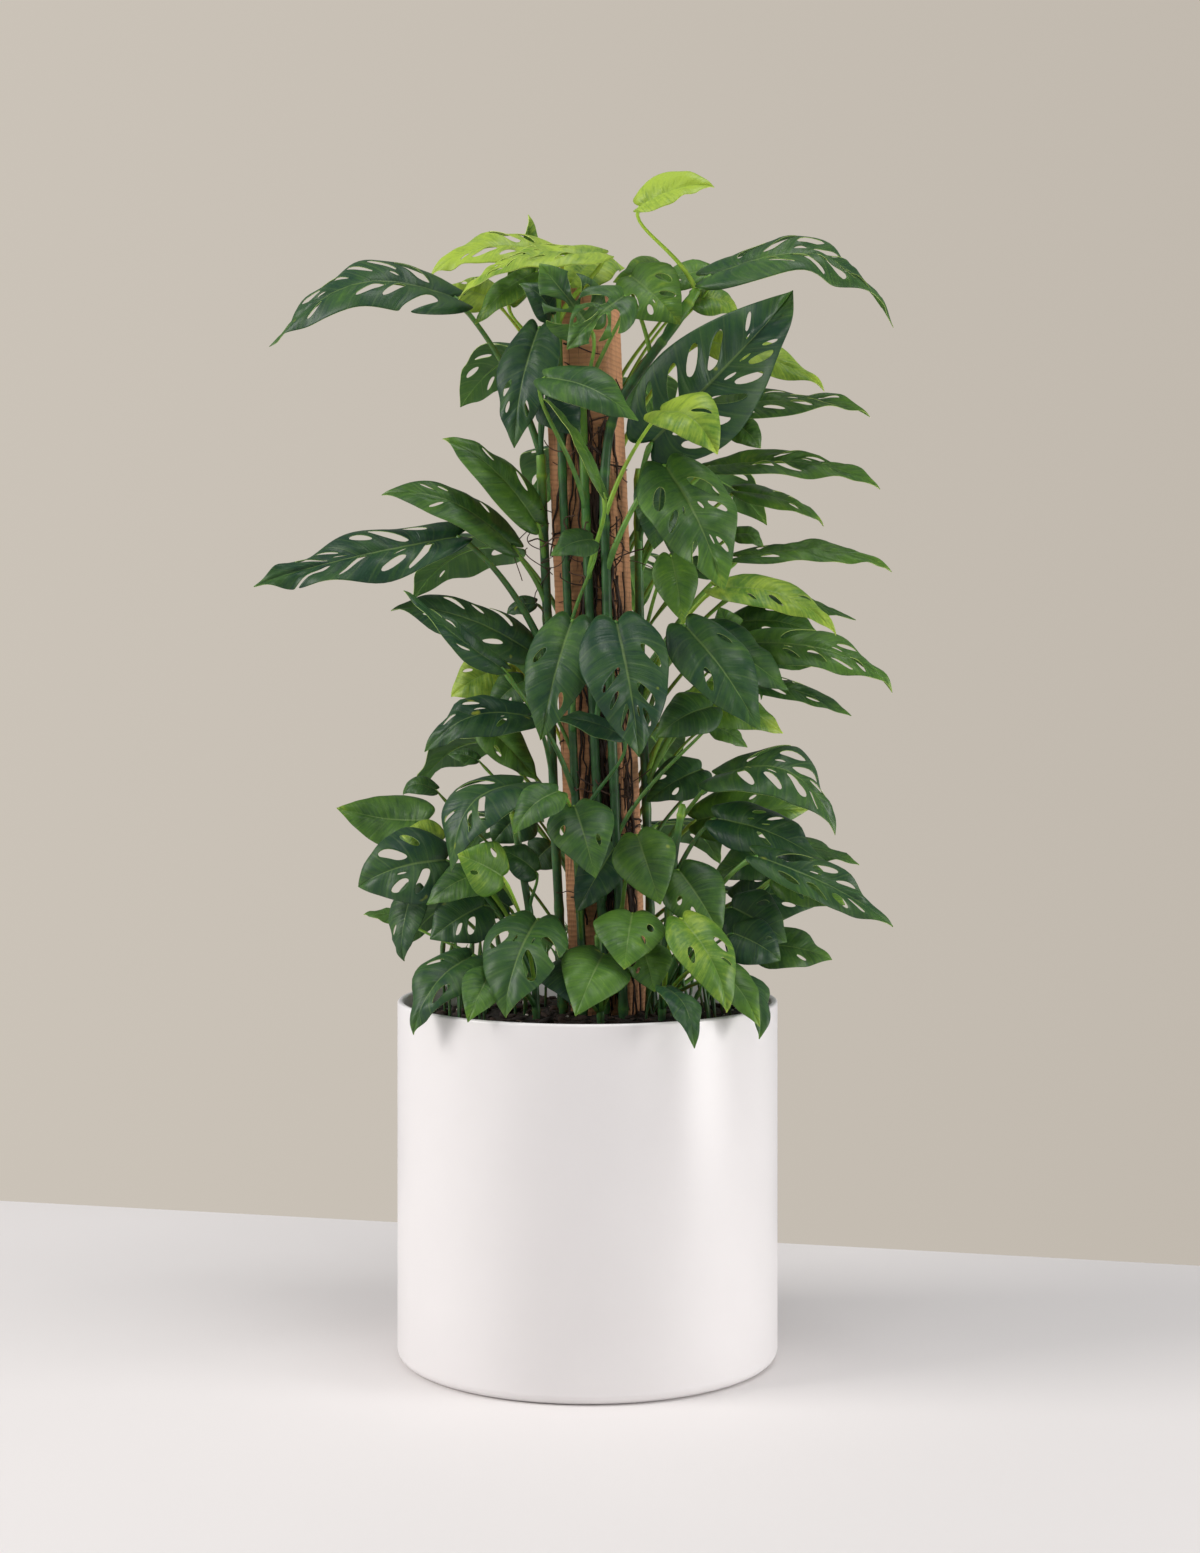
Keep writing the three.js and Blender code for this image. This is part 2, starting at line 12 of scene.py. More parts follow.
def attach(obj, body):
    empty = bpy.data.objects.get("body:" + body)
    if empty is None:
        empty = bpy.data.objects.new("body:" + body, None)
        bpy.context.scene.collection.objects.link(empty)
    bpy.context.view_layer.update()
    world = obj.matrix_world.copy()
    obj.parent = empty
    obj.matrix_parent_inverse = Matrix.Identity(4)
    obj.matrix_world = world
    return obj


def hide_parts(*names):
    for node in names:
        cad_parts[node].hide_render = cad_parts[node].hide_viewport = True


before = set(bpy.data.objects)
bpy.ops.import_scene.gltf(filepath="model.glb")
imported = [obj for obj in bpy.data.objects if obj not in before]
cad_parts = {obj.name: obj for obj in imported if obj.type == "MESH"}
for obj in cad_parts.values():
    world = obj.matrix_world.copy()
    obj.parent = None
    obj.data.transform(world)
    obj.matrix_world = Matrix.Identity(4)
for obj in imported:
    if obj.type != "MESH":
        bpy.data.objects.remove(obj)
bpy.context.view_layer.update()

MM = 0.001


# Pot: one plain cylinder of white plastic, 300 mm across, with a 5 mm wall, a rounded foot and a soft lip.
# It is rotation moulded, so its skin is satin, with a faint orange peel, and its profile is turned about
# one axis.
POT_RADIUS = 150 * MM
POT_HEIGHT = 280 * MM
POT_WALL = 5 * MM
POT_FLOOR = 10 * MM
POT_FOOT_ROUND = 8 * MM
POT_LIP_ROUND = 2 * MM
POT_STEPS = 128
FOOT_STEPS = 8
LIP_STEPS = 5


def colour(hex_value):
    """An sRGB hex colour as the linear one that the shaders take."""
    parts = [int(hex_value[i:i + 2], 16) / 255 for i in (1, 3, 5)]
    linear = [p / 12.92 if p <= 0.04045 else ((p + 0.055) / 1.055) ** 2.4 for p in parts]
    return (*linear, 1.0)


def add_node(owner, kind, inputs, **settings):
    """Adds a node with its settings.

    An input takes a value, a hex colour, the output socket that feeds it, or a node, which stands for its
    first output in use.
    """
    tree = owner.node_tree
    node = tree.nodes.new("ShaderNode" + kind)
    for name, value in settings.items():
        setattr(node, name, value)
    for name, value in inputs.items():
        if isinstance(value, bpy.types.Node):
            value = next(socket for socket in value.outputs if socket.enabled)
        if isinstance(value, bpy.types.NodeSocket):
            tree.links.new(value, node.inputs[name])
        else:
            node.inputs[name].default_value = colour(value) if isinstance(value, str) else value
    return node


def new_material(name):
    """A material without nodes, and the call that adds nodes to it."""
    material = bpy.data.materials.new(name)
    material.use_nodes = True
    material.node_tree.nodes.clear()
    return material, partial(add_node, material)


def arc(x, z, radius, start, end, steps):
    """Points of a round in a profile, from one angle to another in degrees."""
    angles = [math.radians(start + (end - start) * i / steps) for i in range(steps + 1)]
    return [(x + radius * math.cos(a), z + radius * math.sin(a)) for a in angles]


def turned(profile, steps):
    """A profile of radius and height turned about the Z axis, closed at its poles."""
    bm = bmesh.new()
    verts = [bm.verts.new((x, 0, z)) for x, z in profile]
    edges = [bm.edges.new(pair) for pair in zip(verts, verts[1:])]
    bmesh.ops.spin(bm, geom=verts + edges, cent=(0, 0, 0), axis=(0, 0, 1), angle=math.tau,
                   steps=steps, use_merge=True)
    bmesh.ops.remove_doubles(bm, verts=bm.verts, dist=1e-6)
    bmesh.ops.recalc_face_normals(bm, faces=bm.faces)
    return bm


def finished(bm, name, *materials):
    """The mesh as a smooth piece of the plant, riding on its one body."""
    mesh = bpy.data.meshes.new(name)
    bm.to_mesh(mesh)
    bm.free()
    mesh.shade_smooth()
    for material in materials:
        mesh.materials.append(material)
    piece = bpy.data.objects.new(name, mesh)
    bpy.context.scene.collection.objects.link(piece)
    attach(piece, "root")
    return piece


# White polyethylene, rotation moulded: satin, so the studio light draws broad soft bands down the cylinder.
# The peel is 4 mm across, coarser than the real skin's, so that it shows, and its shade drifts over 90 mm.
white_plastic, add = new_material("moulded_white_plastic")
place = add("TexCoord", {}).outputs["Object"]
peel = add("TexNoise", {"Vector": place, "Scale": 1 / (4 * MM), "Detail": 2.0})
cloud = add("TexNoise", {"Vector": place, "Scale": 1 / (90 * MM), "Detail": 3.0})
skin = add("Mix", {"Factor": cloud, "A": "#E6E3E3", "B": "#EDEAEA"}, data_type="RGBA")
gloss = add("MapRange", {"Value": cloud, "To Min": 0.3, "To Max": 0.4})
bump = add("Bump", {"Height": peel, "Strength": 0.05, "Distance": 0.2 * MM})
shader = add("BsdfPrincipled", {"Base Color": skin, "Roughness": gloss, "Normal": bump, "IOR": 1.51})
add("OutputMaterial", {"Surface": shader})

inner = POT_RADIUS - POT_WALL
pot_profile = [
    (0, 0),
    (POT_RADIUS / 2, 0),
    *arc(POT_RADIUS - POT_FOOT_ROUND, POT_FOOT_ROUND, POT_FOOT_ROUND, -90, 0, FOOT_STEPS),
    (POT_RADIUS, POT_HEIGHT / 2),
    *arc(POT_RADIUS - POT_LIP_ROUND, POT_HEIGHT - POT_LIP_ROUND, POT_LIP_ROUND, 0, 90, LIP_STEPS),
    *arc(inner + POT_LIP_ROUND, POT_HEIGHT - POT_LIP_ROUND, POT_LIP_ROUND, 90, 180, LIP_STEPS),
    (inner, POT_HEIGHT / 2),
    *arc(inner - POT_FOOT_ROUND, POT_FLOOR + POT_FOOT_ROUND, POT_FOOT_ROUND, 0, -90, LIP_STEPS),
    (0, POT_FLOOR),
]
pot = finished(turned(pot_profile, POT_STEPS), "pot_shell", white_plastic)
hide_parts("pot")


# Potting mix: bark, peat and a little perlite, filled to 12 mm below the lip and humped towards the stems.
# Its surface is lumpy and damp, so it is nearly black, with paler chips of dry bark on it.
SOIL_TOP = 268 * MM
SOIL_HUMP = 6 * MM
SOIL_RADIUS = 143.5 * MM
SOIL_FOOT = 10.3 * MM
SOIL_RINGS = 64
SOIL_STEPS = 160
LUMP_HEIGHT = 3 * MM
COARSE_LUMP = 18 * MM
FINE_LUMP = 6 * MM
FINE_LUMP_SHARE = 0.6
BARK_CHIPS = 520
PERLITE_GRAINS = 70
CHIPS_REACH = 0.96
CHIP_SHIFT = 0.07
CHIP_TILT = 0.5
CHIP_PROUD = 0.3


def soil_height(x, y):
    """The mean height of the mix, which falls away towards the pot's wall."""
    out = min(math.hypot(x, y) / SOIL_RADIUS, 1)
    return SOIL_TOP - SOIL_HUMP * out ** 3


def lump(x, y):
    """How far a lump stands above or below the mean height, none at the wall."""
    edge = 1 - min(math.hypot(x, y) / SOIL_RADIUS, 1) ** 8
    coarse = noise.noise(Vector((x / COARSE_LUMP, y / COARSE_LUMP, 3.1)))
    fine = noise.noise(Vector((x / FINE_LUMP, y / FINE_LUMP, 7.7)))
    return LUMP_HEIGHT * edge * (coarse + FINE_LUMP_SHARE * fine)


def toned_mesh():
    """An empty mesh whose points carry a tone for the material."""
    bm = bmesh.new()
    bm.verts.layers.float.new("tone")
    return bm


def block(size, edge, segments):
    """A block about the origin with its edges taken off."""
    bm = bmesh.new()
    bmesh.ops.create_cube(bm, size=1)
    bmesh.ops.scale(bm, vec=size, verts=bm.verts)
    bmesh.ops.bevel(bm, geom=list(bm.edges), offset=edge, affect="EDGES", segments=segments, profile=0.5,
                    material=-1)
    return bm


def joined(bm, part):
    """Adds a small mesh to a larger one, so that the operators only ever work on the small one."""
    mesh = bpy.data.meshes.new("part")
    part.to_mesh(mesh)
    part.free()
    bm.from_mesh(mesh)
    bpy.data.meshes.remove(mesh)


def scattered(count, smallest, largest, flatness, roundness, seed):
    """Chips or grains lying on the mix, each a small block with its corners taken off."""
    draw = random.Random(seed)
    bm = toned_mesh()
    for _ in range(count):
        far = SOIL_RADIUS * CHIPS_REACH * math.sqrt(draw.random())
        around = draw.uniform(0, math.tau)
        x = far * math.cos(around)
        y = far * math.sin(around)
        size = draw.uniform(smallest, largest)
        shape = Vector((size, size * draw.uniform(0.5, 0.8), size * flatness * draw.uniform(0.7, 1.3)))
        chip = block((1, 1, 1), roundness, 1)
        tone = chip.verts.layers.float.new("tone")
        shade = draw.random()
        for vert in chip.verts:
            vert.co += Vector([draw.uniform(-CHIP_SHIFT, CHIP_SHIFT) for _ in range(3)])
            vert[tone] = shade
        tilt = Matrix.Rotation(draw.uniform(-CHIP_TILT, CHIP_TILT), 4, "X")
        tilt = tilt @ Matrix.Rotation(draw.uniform(-CHIP_TILT, CHIP_TILT), 4, "Y")
        lift = soil_height(x, y) + lump(x, y) + shape.z * CHIP_PROUD
        tilt = Matrix.Rotation(draw.uniform(0, math.tau), 4, "Z") @ tilt
        settle = Matrix.Translation((x, y, lift)) @ tilt
        bmesh.ops.transform(chip, matrix=settle @ Matrix.Diagonal((*shape, 1)), verts=chip.verts)
        bmesh.ops.recalc_face_normals(chip, faces=chip.faces)
        joined(bm, chip)
    return bm


# Damp bark and peat: dull and dark brown, each lump of another shade. The real grain is 3 mm and its fibres
# are 0.8 mm, drawn at 5 and 1.6 mm so that they show.
damp_mix, add = new_material("damp_potting_mix")
place = add("TexCoord", {}).outputs["Object"]
grain = add("TexVoronoi", {"Vector": place, "Scale": 1 / (5 * MM)}).outputs["Color"]
fibre = add("TexNoise", {"Vector": place, "Scale": 1 / (1.6 * MM), "Detail": 4.0})
earth = add("Mix", {"Factor": fibre, "A": "#0C0908", "B": "#2A1F18"}, data_type="RGBA")
flecks = add("MapRange", {"Value": grain, "From Min": 0.75, "From Max": 0.9, "To Max": 0.5})
mixed = add("Mix", {"Factor": flecks, "A": earth, "B": "#5C4433"}, data_type="RGBA")
bump = add("Bump", {"Height": fibre, "Strength": 0.8, "Distance": 1.2 * MM})
shader = add("BsdfPrincipled", {"Base Color": mixed, "Roughness": 0.85, "Normal": bump})
add("OutputMaterial", {"Surface": shader})

soil_profile = [(0, SOIL_FOOT), (SOIL_RADIUS, SOIL_FOOT)]
for ring in range(SOIL_RINGS, -1, -1):
    x = SOIL_RADIUS * ring / SOIL_RINGS
    soil_profile.append((x, soil_height(x, 0)))
bm = turned(soil_profile, SOIL_STEPS)
for vert in bm.verts:
    if vert.co.z > SOIL_TOP - 2 * SOIL_HUMP:
        vert.co.z += lump(vert.co.x, vert.co.y)
soil = finished(bm, "potting_mix_body", damp_mix)
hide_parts("potting_mix")

# Dry pine bark: plates of red brown to grey brown, dull, with a fine grain of 1 mm. Their colours are
# darkened to near black and dark brown: painted shade for the shade that the leaves cast on the mix.
dry_bark, add = new_material("dry_pine_bark")
place = add("TexCoord", {}).outputs["Object"]
tone = add("Attribute", {}, attribute_name="tone").outputs["Fac"]
fibre = add("TexNoise", {"Vector": place, "Scale": 1 / (1 * MM), "Detail": 3.0})
# Painted shade: both ends of the plates' colour are darkened past the bark's own.
plate = add("Mix", {"Factor": tone, "A": "#110C0A", "B": "#4E362A"}, data_type="RGBA")
worn = add("Mix", {"Factor": fibre, "A": plate, "B": "#2A1F19"}, data_type="RGBA")
bump = add("Bump", {"Height": fibre, "Strength": 0.6, "Distance": 0.5 * MM})
shader = add("BsdfPrincipled", {"Base Color": worn, "Roughness": 0.8, "Normal": bump})
add("OutputMaterial", {"Surface": shader})

bm = scattered(BARK_CHIPS, smallest=3 * MM, largest=11 * MM, flatness=0.3, roundness=0.2, seed=11)
chips = finished(bm, "bark_chips", dry_bark)

# Perlite: puffed white mineral grains, chalky, with pores about 1 mm apart.
perlite, add = new_material("perlite")
place = add("TexCoord", {}).outputs["Object"]
pores = add("TexNoise", {"Vector": place, "Scale": 1 / (1 * MM), "Detail": 2.0})
chalk = add("Mix", {"Factor": pores, "A": "#8F877C", "B": "#D8D2C8"}, data_type="RGBA")
shader = add("BsdfPrincipled", {"Base Color": chalk, "Roughness": 0.9})
add("OutputMaterial", {"Surface": shader})

bm = scattered(PERLITE_GRAINS, smallest=1.6 * MM, largest=3.4 * MM, flatness=0.8, roundness=0.28, seed=12)
grains = finished(bm, "perlite_grains", perlite)


# Stake: one 50 mm square post of sawn hardwood, driven into the mix and leaning a little to the left. It is
# left as the saw cut it, so the faces are rough, with the blade's marks across the grain and the edges a
# little worn.
STAKE_SIDE = 50 * MM
STAKE_FOOT = Vector((26, 15, 60)) * MM
STAKE_HEAD = Vector((-5, 15, 841)) * MM
STAKE_LENGTH = STAKE_HEAD.z - STAKE_FOOT.z
STAKE_HALFWAY = (STAKE_HEAD.z + STAKE_FOOT.z) / 2
STAKE_TURN = math.radians(-16)
STAKE_EDGE = 1.2 * MM
STAKE_RINGS = 240
STAKE_COLUMNS = 9
SAW_MARK_SPACING = 4 * MM
SAW_DEPTH = 0.35 * MM
SAW_RIDGE = Vector((12, 12, 5)) * MM
WARP_DEPTH = 0.6 * MM
WARP_LENGTH = 50 * MM


def stake_middle(height):
    """The middle of the post at a height."""
    return STAKE_FOOT.lerp(STAKE_HEAD, (height - STAKE_FOOT.z) / STAKE_LENGTH)


# Sawn hardwood, dry and unfinished: matt red brown. The growth streaks are 9 mm apart, or finer, and 14
# times as long, the pores are dark dashes 1.3 mm apart, coarser than real ones, and the shade drifts over
# 60 mm. A wave texture repeats 20 / tau times per unit of its scale, which sets the saw's marks 4 mm apart.
sawn_hardwood, add = new_material("sawn_hardwood")
place = add("TexCoord", {}).outputs["Object"]
upright = add("Mapping", {"Vector": place, "Rotation": (0, 0, -STAKE_TURN), "Scale": (1, 1, 0.07)})
streak = add("TexNoise", {"Vector": upright, "Scale": 1 / (9 * MM), "Detail": 5.0, "Roughness": 0.65})
pore = add("TexNoise", {"Vector": upright, "Scale": 1 / (1.3 * MM), "Detail": 2.0})
patch = add("TexNoise", {"Vector": place, "Scale": 1 / (60 * MM), "Detail": 3.0})
marks = add("TexWave",
            {"Vector": place, "Scale": math.tau / 20 / SAW_MARK_SPACING, "Distortion": 1.6,
             "Detail": 3.0, "Detail Scale": 2.0}, bands_direction="Z").outputs["Fac"]
timber = add("Mix", {"Factor": streak, "A": "#9C6440", "B": "#E0AE82"}, data_type="RGBA")
weathered = add("Mix", {"Factor": patch, "A": timber, "B": "#CB9064"}, data_type="RGBA")
dash = add("MapRange", {"Value": pore, "From Min": 0.42, "From Max": 0.3, "To Max": 0.6})
pored = add("Mix", {"Factor": dash, "A": weathered, "B": "#4A2B20"}, data_type="RGBA")
mark = add("MapRange", {"Value": marks, "From Min": 0.55, "From Max": 1.0, "To Max": 0.22})
sawn = add("Mix", {"Factor": mark, "A": pored, "B": "#5B3526"}, data_type="RGBA")
relief = add("Math", {0: marks, 1: streak}, operation="ADD")
bump = add("Bump", {"Height": relief, "Strength": 0.4, "Distance": 0.6 * MM})
shader = add("BsdfPrincipled", {"Base Color": sawn, "Roughness": 0.82, "Normal": bump})
add("OutputMaterial", {"Surface": shader})

bm = block((STAKE_SIDE, STAKE_SIDE, STAKE_LENGTH), STAKE_EDGE, 2)
long_edges = [edge for edge in bm.edges if edge.calc_length() > 2 * STAKE_SIDE]
bmesh.ops.subdivide_edges(bm, edges=long_edges, cuts=STAKE_RINGS, use_grid_fill=True)
across = [edge for edge in bm.edges
          if edge.calc_length() > 0.8 * STAKE_SIDE and abs(edge.verts[0].co.z - edge.verts[1].co.z) < MM]
bmesh.ops.subdivide_edges(bm, edges=across, cuts=STAKE_COLUMNS, use_grid_fill=True)
for vert in bm.verts:
    ridge = Vector([a / b for a, b in zip(vert.co, SAW_RIDGE)])
    worn = SAW_DEPTH * noise.noise(ridge) + WARP_DEPTH * noise.noise(vert.co / WARP_LENGTH)
    vert.co.xy += vert.co.xy.normalized() * worn
    middle = stake_middle(vert.co.z + STAKE_HALFWAY)
    vert.co.xy = Matrix.Rotation(STAKE_TURN, 2) @ vert.co.xy + middle.xy
    vert.co.z += STAKE_HALFWAY
stake = finished(bm, "stake_post", sawn_hardwood)
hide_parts("stake")


# Vines: seven long stems that climb the post and four short ones at its foot, each with its leaves. A leaf
# is a thin, tough blade on a round stalk that bends at a knee. The old ones are dark and full of oval holes
# between their side veins, and the new ones are small, whole and yellow green.

# Each stem's radius, and the points that it climbs through from the mix to its tip, all in millimetres.
STEMS = {
    "vine_left": (4, ((-19, 0, 200), (-19, 0, 275), (-25, 0, 400), (-31, 0, 560), (-35, -1, 660),
        (-37, -4, 712))),
    "vine_front_left": (3.6, ((-3, -12, 200), (-3, -12, 275), (-8, -12, 400), (-16, -12, 600),
        (-22, -13, 760), (-24, -14, 835))),
    "vine_front_mid": (3.8, ((14, -18, 200), (14, -18, 275), (9, -18, 400), (1, -18, 600), (-5, -19, 770))),
    "vine_front_right": (4, ((28, -23, 200), (28, -23, 275), (23, -23, 400), (15, -23, 600),
        (14, -25, 700), (22, -28, 742), (46, -28, 780), (70, -27, 812), (86, -25, 838))),
    "vine_right": (3.8, ((52, 8, 200), (52, 8, 275), (48, 8, 400), (42, 8, 560), (40, 6, 700))),
    "vine_back_right": (3.6, ((38, 50, 200), (38, 50, 275), (33, 50, 400), (25, 50, 600), (18, 49, 760),
        (16, 48, 822))),
    "vine_back_left": (3.6, ((-5, 57, 200), (-5, 57, 275), (-10, 57, 400), (-18, 57, 600), (-24, 57, 760),
        (-28, 56, 828))),
    "shoot_left": (3.2, ((-40, -30, 200), (-40, -30, 275), (-44, -30, 340), (-52, -32, 392),
        (-58, -34, 430))),
    "shoot_front": (3, ((10, -64, 200), (10, -64, 275), (9, -64, 310), (8, -65, 338))),
    "shoot_right": (3.2, ((58, -34, 200), (58, -34, 275), (62, -36, 340), (68, -38, 400), (74, -40, 436))),
    "shoot_back": (3.2, ((8, 84, 200), (8, 84, 275), (6, 86, 340), (6, 86, 400))),
}
